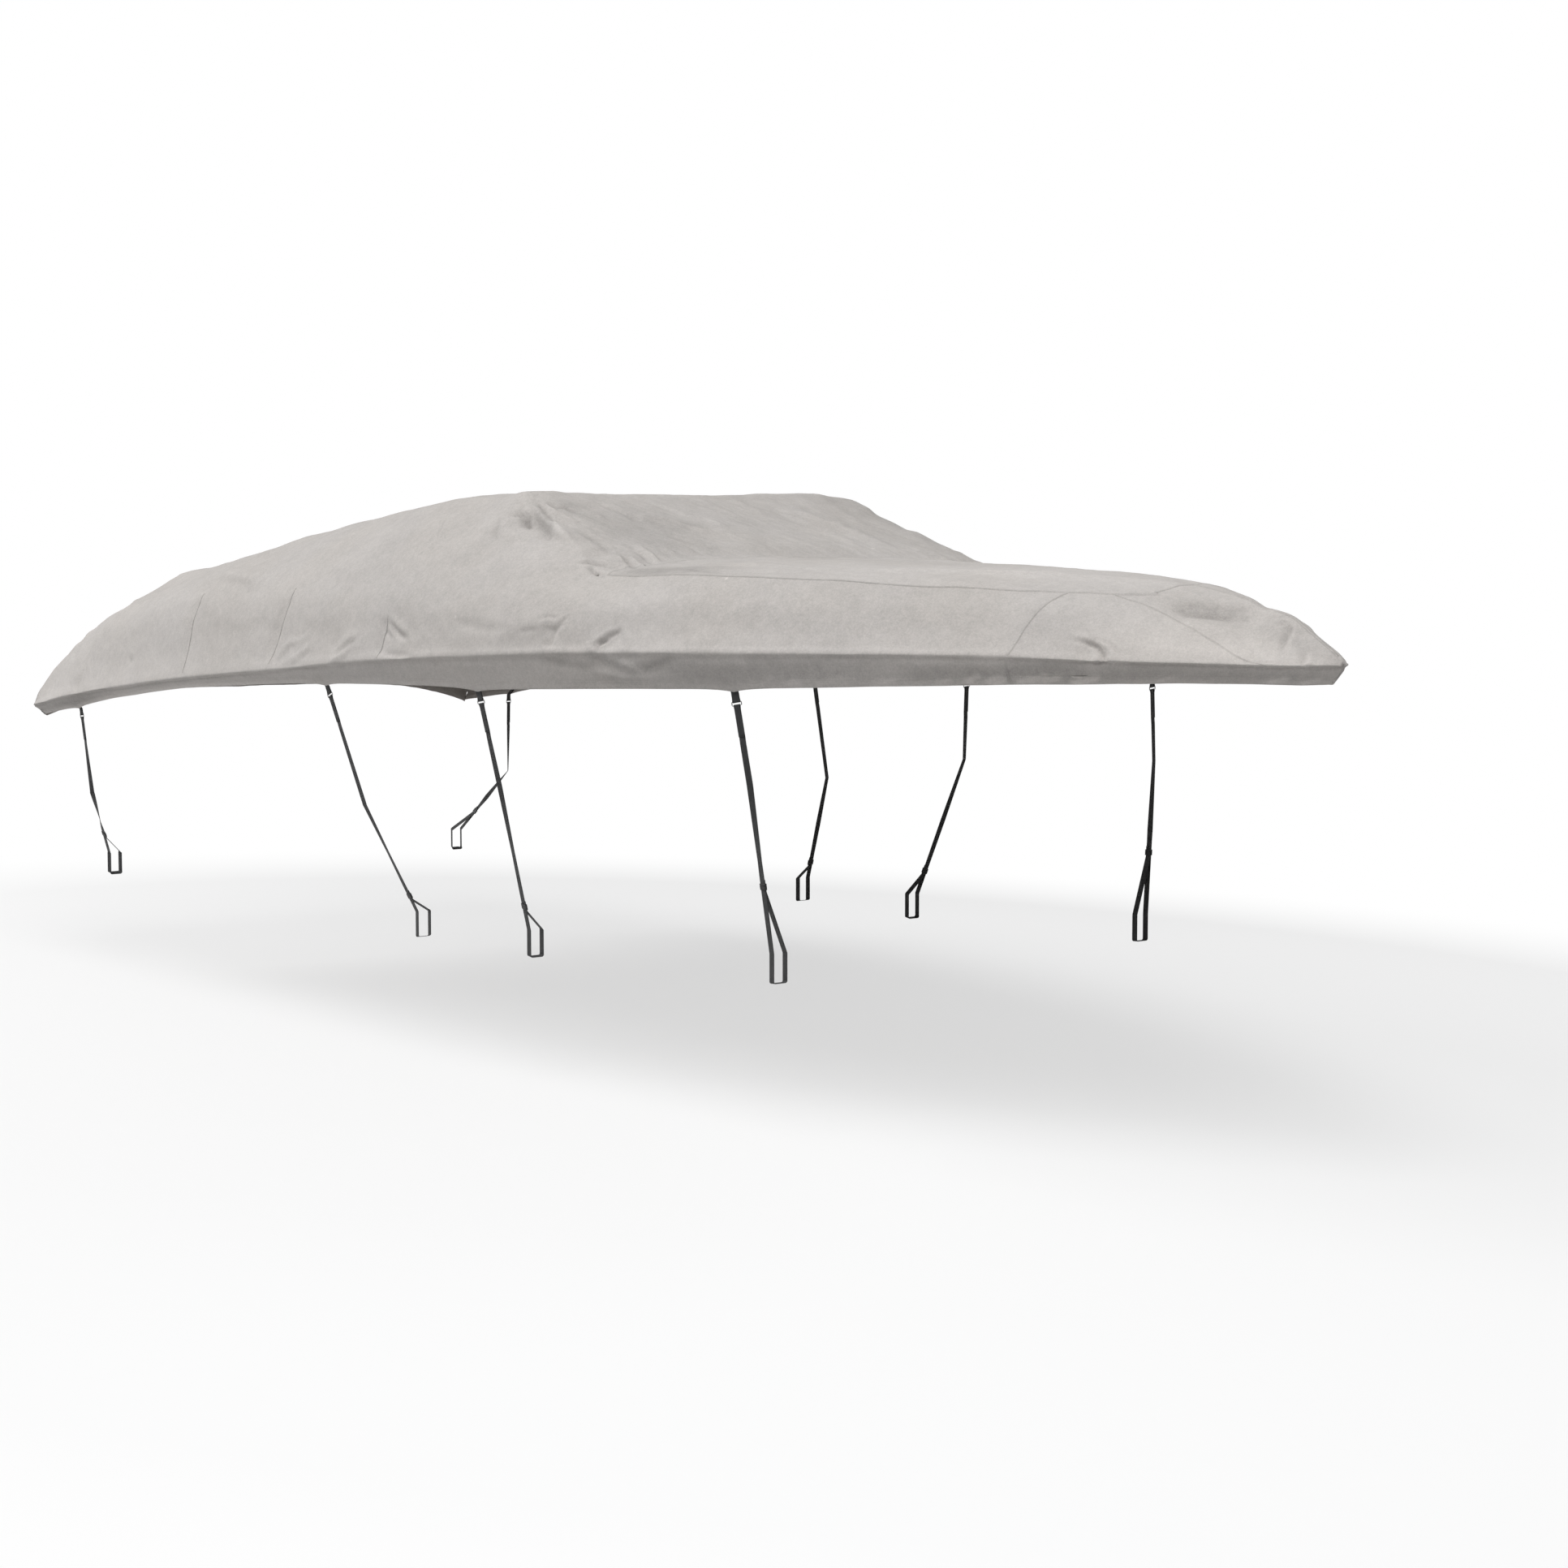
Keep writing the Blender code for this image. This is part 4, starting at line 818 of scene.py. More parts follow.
class Nodes:
    """A short way to write the nodes of a material or a world."""

    def __init__(self, owner):
        owner.use_nodes = True
        self.owner, self.tree = owner, owner.node_tree
        self.shader = self.tree.nodes.get("Principled BSDF")

    def put(self, node, key, value):
        if isinstance(value, Value):
            self.tree.links.new(value.socket, node.inputs[key])
        else:
            node.inputs[key].default_value = value

    def node(self, kind, inputs=None, **settings):
        node = self.tree.nodes.new(kind)
        for key, value in settings.items():
            setattr(node, key, value)
        for key, value in (inputs or {}).items():
            self.put(node, key, value)
        return node

    def new(self, kind, inputs=None, output=0, **settings):
        return Value(self, self.node(kind, inputs, **settings).outputs[output])

    def place(self):
        return self.new("ShaderNodeTexCoord", output="Object")

    def map(self, name):
        return self.new("ShaderNodeUVMap", uv_map=name)

    def parts(self, vector):
        return [Value(self, part) for part in self.node("ShaderNodeSeparateXYZ", {0: vector}).outputs]

    def math(self, operation, a, b=0.0):
        return self.new("ShaderNodeMath", {0: a, 1: b}, operation=operation)

    def vector(self, operation, a, b=(0.0, 0.0, 0.0), output=0):
        return self.new("ShaderNodeVectorMath", {0: a, 1: b}, output, operation=operation)

    def noise(self, vector, scale, detail=2.0, rough=0.5, stretch=None):
        if stretch is not None:
            vector = self.vector("MULTIPLY", vector, stretch)
        inputs = {"Vector": vector, "Scale": scale, "Detail": detail, "Roughness": rough}
        return self.new("ShaderNodeTexNoise", inputs, "Fac")

    def between(self, value, low, high, to_low=0.0, to_high=1.0):
        """A smooth step from to_low, where the value is low, to to_high, where it is high."""
        inputs = {"Value": value, "From Min": low, "From Max": high, "To Min": to_low, "To Max": to_high}
        return self.new("ShaderNodeMapRange", inputs, interpolation_type="SMOOTHSTEP")

    def mix(self, factor, a, b):
        return self.new("ShaderNodeMix", {"Factor": factor, 6: (*a, 1), 7: (*b, 1)}, 2, data_type="RGBA")

    def bump(self, height, distance, strength=1.0, normal=None):
        inputs = {"Height": height, "Distance": distance, "Strength": strength}
        if normal is not None:
            inputs["Normal"] = normal
        return self.new("ShaderNodeBump", inputs)

    def shade(self, **sockets):
        """Sets the shader's sockets, with _ for the spaces in their names."""
        for name, value in sockets.items():
            self.put(self.shader, name.replace("_", " "), value)
        return self.owner


# Small stains: aft, across, how far they reach, how dark.
STAINS = (
    (3.48, -2.62, 0.016, 0.10),
    (3.28, -2.36, 0.011, 0.07),
    (5.69, -3.67, 0.018, 0.10),
    (4.05, -2.30, 0.010, 0.05),
    (2.62, -3.30, 0.012, 0.05),
    (1.43, -3.02, 0.006, 0.10),
    (1.45, -3.33, 0.006, 0.10),
    (3.05, -3.05, 0.014, -0.06),
    (1.81, -2.10, 0.009, -0.30),
    (2.54, 0.78, 0.011, -0.30),
    (3.00, -3.25, 0.009, -0.22),
    (3.10, -2.57, 0.010, 0.12),
    (4.70, 3.00, 0.014, 0.07),
    (2.00, 2.80, 0.012, 0.06),
)
# Painted light and shade in wide soft patches: side (0 is both), aft, across, how far they reach each way, how much
# lighter they are.
PAINTED_LIGHT_MARKS = (
    (0, 2.20, 1.78, 0.42, 0.34, -0.20),  # painted shadow ahead of the front slope's foot; painted shade and highlight on the slope and its folds
    (0, 2.74, 1.25, 0.38, 0.85, -0.14),
    (-1, 2.94, 2.10, 0.15, 0.14, -0.10),
    (-1, 3.06, 2.16, 0.07, 0.08, -0.08),
    (-1, 2.98, 1.76, 0.16, 0.28, -0.10),
    (-1, 2.84, 2.02, 0.07, 0.08, 0.06),
    (0, 0.42, 2.36, 0.19, 0.38, -0.09),  # painted shade in the bow's hollows; painted light on the haunches and the port front slope
    (0, 0.36, 3.15, 0.50, 0.90, 0.10),
    (0, 1.95, 3.55, 0.60, 0.42, 0.07),
    (1, 2.66, 1.30, 0.60, 1.10, 0.17),
    (0, 0.60, 4.60, 0.75, 0.60, -0.17),  # painted shade above the hem, with painted light in places
    (0, 1.60, 4.60, 0.85, 0.60, -0.16),
    (-1, 5.20, 4.95, 1.70, 0.50, 0.16),
    (-1, 5.30, 4.22, 1.60, 0.26, -0.10),
    (-1, 6.35, 4.50, 0.50, 0.55, -0.24),
    (0, 0.14, 3.20, 0.22, 0.85, 0.11),
    (0, 1.15, 0.60, 1.10, 1.50, 0.08),  # painted light on the foredeck and haunches, and slight painted light and shade on the side
    (0, 0.38, 3.42, 0.36, 0.62, 0.10),
    (-1, 2.10, 2.70, 0.34, 0.30, 0.03),
    (-1, 4.30, 2.90, 0.50, 0.40, 0.025),
    (-1, 3.70, 2.60, 0.40, 0.40, -0.03),
    (1, 3.40, 2.80, 0.60, 0.40, 0.03),
)
PAINTED_EDGE_LIGHT = (3.30, 3.72, 3.95, 4.04, 0.06)  # painted light along the widest edge, across: from, fully, fully, to, how much lighter
CLOTH_COLOR = (0.460, 0.4345, 0.413)
# How much the painted shade darkens the creases' troughs, and how much the painted highlight lightens their ridges.
CREASE_SHADE_DARKER, CREASE_HIGHLIGHT_LIGHTER = 0.14, 0.09
YARN = 0.0009  # between two yarns of the weave
STITCH_LONG = 0.0042
STITCH_ROWS = (0.0195, 0.0265, LAP_MARK + 0.0035, LAP_MARK + 0.0100, DART_MARK + 0.0035)
STREAK_WIDE, STREAK_LONG, STREAK_LEAN, STREAKS_END = 0.030, 0.24, 0.4, 3.20
THREAD = 0.0011
GROOVE_SHADE_DARKER, THREAD_LIGHTER = 0.16, 0.03


def cloth_material():
    n = Nodes(bpy.data.materials.new("woven_cover_cloth"))
    place = n.place()
    weave, stitch, spread, crease_light = (n.map(name) for name in ("Weave", "Stitch", "Place", "Worn"))
    cloudy = n.noise(place, 2.4, 3.0)
    blotched = n.noise(place, 7.5, stretch=(0.6, 1.0, 1.5))
    patchy, mottled = n.noise(place, 22.0, 3.0, 0.6), n.noise(place, 46.0, 4.0, 0.6)
    dusty, speckled = n.noise(place, 120.0, 2.0, 0.7), n.noise(place, 240.0, 2.0, 0.6)
    warp, weft = (n.noise(weave, 1.0, stretch=way) for way in ((55.0, 900.0, 1.0), (900.0, 55.0, 1.0)))
    tone = n.between(cloudy, 0.3, 0.7, -0.022, 0.022)
    for value, reach in (
            (blotched, 0.030), (patchy, 0.034), (mottled, 0.040), (dusty, 0.060), (speckled, 0.040), (warp, 0.030),
            (weft, 0.030)):
        tone = tone + n.between(value, 0.25, 0.75, -reach, reach)

    aftward, sideways, _ = n.parts(spread)
    sideways = abs(sideways)
    mirrored = n.new("ShaderNodeCombineXYZ", {0: aftward, 1: sideways})
    # Painted light and shade, in wide soft patches.
    for side, aft, across, long, wide, lighter in PAINTED_LIGHT_MARKS:
        way = n.vector("SUBTRACT", spread if side else mirrored, (aft, across * (side or 1), 0.0))
        far = n.vector("LENGTH", n.vector("MULTIPLY", way, (1 / long, 1 / wide, 0.0)), output="Value")
        tone = tone + n.between(far + (blotched - 0.5) * 0.5, 0.1, 1.0, lighter, 0.0)
    # Painted light along the widest edge.
    start, full, still, end, lighter = PAINTED_EDGE_LIGHT
    tone = tone + n.between(sideways, start, full, 0.0, lighter) * n.between(sideways, still, end, 1.0, 0.0)
    # Painted shade in the creases' troughs and painted highlight on their ridges.
    crease_light = n.parts(crease_light)[0]
    tone = tone + n.between(crease_light, DEEPEST_CREASE_SHADE, 0.0, DEEPEST_CREASE_SHADE, 0.0) * CREASE_SHADE_DARKER
    tone = tone + n.between(crease_light, 0.0, BRIGHTEST_CREASE_HIGHLIGHT, 0.0, BRIGHTEST_CREASE_HIGHLIGHT) * CREASE_HIGHLIGHT_LIGHTER

    # The front slope's cloth is drawn in fine streaks towards its foot, bumped, with their painted light and shade in
    # its colour.
    slanted = n.vector("DOT_PRODUCT", place, (-STREAK_LEAN / STREAK_WIDE, 1 / STREAK_WIDE, 0.0), "Value")
    run = n.new("ShaderNodeCombineXYZ", {0: n.parts(place)[0] / STREAK_LONG, 1: slanted})
    streaked = n.noise(run, 1.0, 3.0, 0.6)
    foot, top = FOREDECK_FOOT, STREAKS_END
    where = n.between(aftward, foot - 0.02, foot + 0.06) * n.between(aftward, top - 0.15, top, 1.0, 0.0)
    where = where * n.between(sideways, 1.95, 2.15, 1.0, 0.0)
    # Painted light and shade of the fine streaks.
    tone = tone + n.between(streaked, 0.3, 0.7, -0.035, 0.035) * where

    for aft, across, reach, dark in STAINS:
        far = n.vector("DISTANCE", place, tuple(cover(aft, across)[0][0]), "Value")
        tone = tone - n.between(far + (mottled - 0.5) * reach, 0.2 * reach, reach, dark, 0.0)

    # Two rows of stitching beside a seam or above the hem.
    along, off, _ = n.parts(stitch)
    sewn = n.between(n.math("PINGPONG", along / STITCH_LONG, 0.5), 0.09, 0.16)
    rows = [n.between(abs(off - at), THREAD * 0.35, THREAD, 1.0, 0.0) for at in STITCH_ROWS]
    rows = sum(rows[1:], rows[0])
    thread, groove = rows * sewn, rows * (1.0 - sewn)
    # Painted shade in the grooves between stitches; the thread a little lighter.
    tone = tone - groove * GROOVE_SHADE_DARKER + thread * THREAD_LIGHTER
    # Painted shadow along each lap's free edge, strongest on the darts, and slightly darker over the whole lap.
    for mark, edge_shade in ((LAP_MARK, 0.05), (DART_MARK, 0.62)):
        near = n.between(off, mark - 0.03, mark - 0.01) * n.between(off, mark + 0.03, mark + 0.04, 1.0, 0.0)
        tone = tone - n.between(off, mark + 0.0010, mark + 0.0070, edge_shade, 0.04) * near
    tone = tone + n.between(off, 0.026, 0.031, 0.035, 0.0)  # the hem, of two plies

    warmer = [c * share for c, share in zip(CLOTH_COLOR, (0.985, 0.99, 1.0))]
    color = n.mix(n.between(cloudy, 0.35, 0.65), CLOTH_COLOR, warmer)
    color = n.new("ShaderNodeVectorMath", {0: color, "Scale": tone + 1.0}, operation="SCALE")
    over, under, _ = (n.math("SINE", part * (math.pi / YARN)) for part in n.parts(weave))
    normal = n.bump(n.noise(place, 22.0, 3.0, 0.55), 0.0030, 0.5)
    normal = n.bump(streaked * where, 0.0040, 0.6, normal)
    normal = n.bump(mottled, 0.0012, 0.4, normal)
    normal = n.bump(over * under * 0.5 + (warp + weft), 0.00025, 0.6, normal)
    return n.shade(
        Base_Color=color, Roughness=0.92, Specular_IOR_Level=0.25, Sheen_Weight=0.08, Sheen_Roughness=0.5,
        Normal=n.bump(thread - groove, 0.0007, 0.8, normal))


def webbing_material():
    """Black webbing: ribs along it, with the weave crossing them."""
    n = Nodes(bpy.data.materials.new("black_webbing"))
    along, over, _ = n.parts(n.map("Weave"))
    rib = abs(n.math("SINE", over * (math.pi / 0.0021)))
    pick = abs(n.math("SINE", along * (math.pi / 0.0013) + rib * 1.3))
    height = rib * 0.5 + pick * 0.5
    # Painted shade in the weave's hollows, lighter on its raised yarns.
    color = n.mix(n.between(height, 0.2, 1.0), (0.0045, 0.0048, 0.0052), (0.017, 0.018, 0.020))
    dusty = n.between(n.noise(n.place(), 60.0, 3.0, 0.6), 0.45, 0.8, 0.0, 0.25)
    color = n.new("ShaderNodeMix", {"Factor": dusty, 6: color, 7: (0.045, 0.044, 0.042, 1)}, 2, data_type="RGBA")
    return n.shade(Base_Color=color, Roughness=0.62, Sheen_Weight=0.10, Normal=n.bump(height, 0.0004, 0.9))


def metal_material():
    """Bright wire, a little dulled."""
    n = Nodes(bpy.data.materials.new("ring_metal"))
    dulled = n.noise(n.place(), 420.0, 4.0, 0.65)
    return n.shade(
        Base_Color=n.mix(n.between(dulled, 0.35, 0.7), (0.40, 0.40, 0.41), (0.62, 0.62, 0.62)), Metallic=1.0,
        Roughness=n.between(dulled, 0.3, 0.7, 0.20, 0.42), Normal=n.bump(dulled, 0.0001, 0.3))


def plastic_material():
    """Black moulded plastic with a fine grain."""
    n = Nodes(bpy.data.materials.new("buckle_moulding"))
    place = n.place()
    scuffed = n.noise(place, 120.0, 4.0, 0.7)
    return n.shade(
        Base_Color=n.mix(n.between(scuffed, 0.5, 0.8), (0.010, 0.010, 0.011), (0.035, 0.035, 0.036)),
        Roughness=n.between(scuffed, 0.3, 0.8, 0.38, 0.58), Normal=n.bump(n.noise(place, 1400.0), 0.00015, 0.5))


# ---------------------------------------------------------------------------------------------------------------
# Straps.


def vector(row):
    return Vector(tuple(float(x) for x in row))


def at_hem(aft, across):
    return vector(base(aft, across)[0])


def placed(aft, y, up):
    return Vector((ORIGIN_AFT - aft, y, up - ORIGIN_UP))


def guide(row, side):
    """A strap's middle line from inside the hem to its loop, as rows of (place, way across, way out, how far down)."""
    strap = dict(zip(STRAP_COLUMNS, row))
    aft, hem = strap["aft"], side * HEM
    along = (at_hem(aft - 0.01, hem) - at_hem(aft + 0.01, hem)).normalized()
    slope = (at_hem(aft, hem) - at_hem(aft, side * EDGE)).normalized()
    inward = slope.cross(along) * side
    middle = at_hem(aft, hem) + slope * HEM_PULL + inward * (CLOTH + TAB_GAP + WEB + WEB_GAP / 2)
    below = middle + slope * TAB_BEND
    leaves = placed(strap["side_aft"], side * strap["side_y"], strap["side_z"])
    down = (leaves - below).normalized()
    beam = placed(strap["beam_aft"], side * (strap["beam_y"] + WEB_GAP + WEB / 2), strap["beam_z"] + BEAM_TALL)
    under = (beam - leaves).normalized()
    buckle = leaves + under * (strap["side_z"] - strap["buckle_z"]) / -under.z
    forward = Vector((1, 0, 0))
    knots = (
        (middle - slope * TAB_SEWN, along, 0),
        (below, along, 0),
        (below + down * (TAB_DROP + RING_TALL + TAIL + TAIL_MARGIN), along, 0),
        (leaves, along, strap["turn_side"]),
        (leaves.lerp(beam, TWIST_SHARE), forward, strap["turn_middle"]),
        (buckle - under * BUCKLE_LEAD, forward, 0),
        (beam, forward, 0),
    )
    path = bent([place for place, _, _ in knots], STRAP_BEND)
    rows, far, k = [], 0.0, 0
    for i, place in enumerate(path):
        far += (place - path[i - 1]).length if i else 0.0
        way = (path[min(i + 1, len(path) - 1)] - path[max(i - 1, 0)]).normalized()
        while k < len(knots) - 2 and (place - knots[k + 1][0]).dot(way) > 0:
            k += 1
        (start, wide, turn), (end, next_wide, next_turn) = knots[k], knots[k + 1]
        t = min(max((place - start).dot(end - start) / (end - start).length_squared, 0), 1)
        wide = wide.lerp(next_wide, t)
        wide = (wide - way * wide.dot(way)).normalized()
        turn = math.radians(turn + (next_turn - turn) * t) * side
        wide = wide * math.cos(turn) + way.cross(wide) * math.sin(turn)
        rows.append((place, wide, wide.cross(way) * side, far))
    return rows, rows[-1][3] - (beam - buckle).length


def bent(places, radius, most=math.radians(35)):
    """A path through the places, with its corners rounded."""
    path = [places[0]]
    for before, corner, after in zip(places, places[1:], places[2:]):
        into, out = (corner - before).normalized(), (after - corner).normalized()
        turn = into.angle(out)
        if turn < 0.01:
            path.append(corner)
            continue
        cut = min(radius * math.tan(turn / 2), 0.45 * (corner - before).length, 0.45 * (after - corner).length)
        steps = max(2, math.ceil(turn / most))
        for i in range(steps + 1):
            t = i / steps
            path.append(
                (corner - into * cut) * (1 - t) ** 2 + corner * 2 * t * (1 - t) + (corner + out * cut) * t * t)
    return path + [places[-1]]


def beside(line, out, down):
    """A place beside a guide, and the ways across and out there."""
    k = max(i for i in range(len(line) - 1) if line[i][3] <= down or i == 0)
    t = (down - line[k][3]) / (line[k + 1][3] - line[k][3])
    place, wide, outwards = (a.lerp(b, t) for a, b in zip(line[k][:3], line[k + 1][:3]))
    return place + outwards * out, wide.normalized(), outwards.normalized()


def laid(line, corners):
    """A path beside a guide, through corners given as (out, down)."""
    path = []
    for (out, down), (next_out, next_down) in zip(corners, corners[1:]):
        low, high = sorted((down, next_down))
        between = [row[3] for row in line if low + 1e-4 < row[3] < high - 1e-4]
        for far in (down, *(between if next_down > down else between[::-1])):
            share = (far - down) / (next_down - down) if far != down else 0.0
            path.append(beside(line, out + (next_out - out) * share, far)[:2])
    return path + [beside(line, *corners[-1])[:2]]


def round_bar(bar, sign, ends):
    """Corners of webbing that comes to a bar, goes round it and comes back. sign is 1 if it goes below the bar."""
    ply, turn = (WEB + WEB_GAP) / 2, RING_WIRE + WEB_GAP + WEB / 2
    bend = [(turn * math.cos(a), bar + sign * turn * math.sin(a)) for a in np.linspace(0, math.pi, 12)]
    near = bar - sign * 4 * turn
    return [(ply, ends[0]), (ply, near), *bend, (-ply, near), (-ply, ends[1])]


WEB_PROFILE = (  # half the edge of the webbing, as shares of its half width and half thickness
    (0.0, 0.94), (0.55, 1.0), (0.86, 1.0), (0.955, 0.78), (1.0, 0.0))
WEB_STEP = 0.010


def webbing(name, path, width, material):
    """Webbing with soft edges, whose middle follows a path of (place, way across)."""
    ring = [*WEB_PROFILE, *((x, -z) for x, z in WEB_PROFILE[-2::-1])]
    ring += [(-x, -z) for x, z in ring[1:-1]]
    path = [(np.array(place), np.array(wide)) for place, wide in path]
    fine = [path[0]]
    for (start, wide), (end, next_wide) in zip(path, path[1:]):
        gap = float(np.linalg.norm(end - start))
        count = max(1, math.ceil(gap / WEB_STEP)) if gap >= 1e-6 else 0
        for t in (np.arange(count) + 1) / max(count, 1):
            fine.append((start + (end - start) * t, wide + (next_wide - wide) * t))
    places, wide = (np.array(column) for column in zip(*fine))
    way, wide = unit(np.gradient(places, axis=0)), unit(wide)
    wide = unit(wide - way * (wide * way).sum(-1, keepdims=True))
    out = np.cross(way, wide)
    points = np.concatenate([places + wide * (x * width / 2) + out * (z * WEB / 2) for x, z in ring])
    count, around = len(places), len(ring)
    first = (np.arange(around + 1) % around * count).tolist()
    faces = [(i + k, j + k, j + k + 1, i + k + 1) for i, j in zip(first, first[1:]) for k in range(count - 1)]
    faces += [first[-2::-1], [i + count - 1 for i in first[:-1]]]
    weave = strips(far_along(places), [x * width / 2 for x, _ in ring])
    return shaped(name, points, faces, material, {"Weave": weave})


def wire_ring(name, line, middle, material):
    """A rectangular ring of round wire, across the guide."""
    high, wide, bend = RING_TALL / 2, RING_WIDE, 0.003
    corners = [Vector(corner) for corner in ((wide, -high), (wide, high), (-wide, high), (-wide, -high))]
    place, across, out = beside(line, 0, middle)
    down = out.cross(across)
    points = []
    for before, corner, after in zip([corners[-1], *corners], corners, [*corners[1:], corners[0]]):
        into, away = (before - corner).normalized() * bend, (after - corner).normalized() * bend
        points += [corner + into * (1 - t) ** 2 + away * t * t for t in np.linspace(0, 1, 6)]
    curve = bpy.data.curves.new(name, "CURVE")
    curve.dimensions = "3D"
    curve.bevel_depth, curve.bevel_resolution = RING_WIRE, 4
    spline = curve.splines.new("POLY")
    spline.points.add(len(points) - 1)
    for point, at in zip(spline.points, points):
        point.co = (*(place + across * at.x + down * at.y), 1)
    spline.use_cyclic_u = True
    curve.materials.append(material)
    return linked(name, curve)


def slide_buckle(name, line, middle, material):
    """A moulded slide: a short sleeve with rounded edges, on the strap's two plies."""
    wide = WEB_WIDTH / 2 + BUCKLE_PLAY + BUCKLE_WALL
    high = WEB + (WEB_GAP + BUCKLE_PLAY) / 2 + BUCKLE_WALL
    place, across, out = beside(line, -(WEB + WEB_GAP) / 2, middle)
    down = across.cross(out)
    rings = []  # half width, half height, how square it is each way, and how far down, outside and then inside
    for share in np.linspace(-1, 1, 15):
        waist = 0.10 * math.sin(share * math.pi) ** 2 + max(abs(share) - 0.93, 0)
        rings.append((wide * (1 - 0.02 * waist), high * (1 - waist), 0.35, 0.45, share))
    rings += [(wide - BUCKLE_WALL, high - BUCKLE_WALL, 0.2, 0.2, share * 0.985) for share in np.linspace(1, -1, 5)]
    around, points = 28, []
    for half_wide, half_high, square_x, square_y, share in rings:
        for angle in np.linspace(0, 2 * math.pi, around, endpoint=False):
            c, s = math.cos(angle), math.sin(angle)
            x = math.copysign(abs(c) ** square_x, c) * half_wide
            y = math.copysign(abs(s) ** square_y, s) * half_high
            points.append(place + across * x + out * y + down * (share * BUCKLE_LONG / 2))
    faces = grid_faces(len(rings) + 1, around + 1)
    row, column = np.divmod(faces.reshape(-1, 4), around + 1)
    faces = (row % len(rings)) * around + column % around
    return shaped(name, points, faces.tolist(), material)


def finish_piece(obj, node):
    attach(obj, "root")
    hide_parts(node)


def tie_down(row, side, black, metal, moulded):
    """One strap with its tab, ring and buckle."""
    strap = dict(zip(STRAP_COLUMNS, row))
    label = f"{strap['name']}_{SIDE_NAMES[side]}"
    line, buckle = guide(row, side)
    top_bar = TAB_SEWN + TAB_BEND + TAB_DROP - RING_TALL / 2
    low_bar = top_bar + RING_TALL
    tab = webbing("webbing_tab_" + label, laid(line, round_bar(top_bar, 1, (0.0, 0.0))), TAB_WIDTH, black)
    finish_piece(tab, "tab_" + label)
    ring = wire_ring("wire_ring_" + label, line, (top_bar + low_bar) / 2, metal)
    finish_piece(ring, "ring_" + label)

    tail = low_bar + TAIL
    path = laid(line, [*round_bar(low_bar, -1, (tail, tail)), (0.0, tail + TAIL_MARGIN), (0.0, line[-1][3])])
    off = WEB_GAP + WEB / 2
    outer, inner = side * (strap["beam_y"] + off), side * (strap["beam_y"] - BEAM_WIDE - off)
    aft, low, high = strap["beam_aft"], strap["beam_z"] - off, strap["beam_z"] + BEAM_TALL
    behind = -(WEB + WEB_GAP)
    enter, wide, _ = beside(line, behind, buckle + BUCKLE_LONG / 2 + BUCKLE_ENTRY)
    end = beside(line, behind, buckle - BUCKLE_LONG / 2 - STRAP_END)[0]
    loop = bent([
        path[-2][0],
        path[-1][0],
        placed(aft, outer, low),
        placed(aft, inner, low),
        placed(aft, inner, high),
        enter,
        end,
    ], BEAM_CORNER, most=math.radians(12))
    path = path[:-1] + [(place, wide) for place in loop[1:]]
    ribbon = webbing("webbing_strap_" + label, path, WEB_WIDTH, black)
    finish_piece(ribbon, "strap_" + label)
    slide = slide_buckle("slide_" + label, line, buckle, moulded)
    finish_piece(slide, "buckle_" + label)


# ---------------------------------------------------------------------------------------------------------------
# Camera, light and floor.

CAMERA_PLACE = (8.49, -5.92, 1.82 + GROUND)
CAMERA_AZIMUTH, CAMERA_PITCH = 52.5, 4.54
CAMERA_LENS, SENSOR = 61.491, 36.0  # millimetres
FLOOR_HALF = 60.0
FLOOR_NEAR, FLOOR_FAR = 2.6, 5.6  # where it starts to go over into white, and where it is white
FLOOR_GLOW = 0.17  # what the far floor gives back as light
FLOOR_PALE = 0.60  # how far its shadow is lightened
SKY_UP, SKY_LEVEL = 0.16, 0.08

# Soft lamps: name, azimuth it stands at (as a view's), height above the level, and power.
LAMP_FAR, LAMP_SIZE = 12.0, 5.0
LAMPS = (
    ("high_key", 40.0, 58.0, 483.0),
    ("bow_key", 60.0, 40.0, 538.0),
    ("stern_key", -60.0, 30.0, 787.0),
    ("quarter_fill", -30.0, 30.0, 168.0),
    ("bow_fill", 80.0, 30.0, 102.0),
    ("port_fill", 150.0, 30.0, 230.0),
)


def way_to(azimuth, height):
    """The way to something that stands at these degrees round and above the level."""
    a, e = math.radians(azimuth), math.radians(height)
    return Vector((math.sin(a) * math.cos(e), -math.cos(a) * math.cos(e), math.sin(e)))


def aim(obj, place, back):
    obj.location = place
    obj.rotation_mode = "QUATERNION"
    obj.rotation_quaternion = (-back).to_track_quat("-Z", "Y")


def make_camera():
    data = bpy.data.cameras.new("camera")
    data.lens, data.sensor_width, data.sensor_fit = CAMERA_LENS, SENSOR, "HORIZONTAL"
    data.clip_start, data.clip_end = 0.1, 200
    camera = linked("camera", data)
    aim(camera, CAMERA_PLACE, way_to(CAMERA_AZIMUTH, CAMERA_PITCH))
    bpy.context.scene.camera = camera


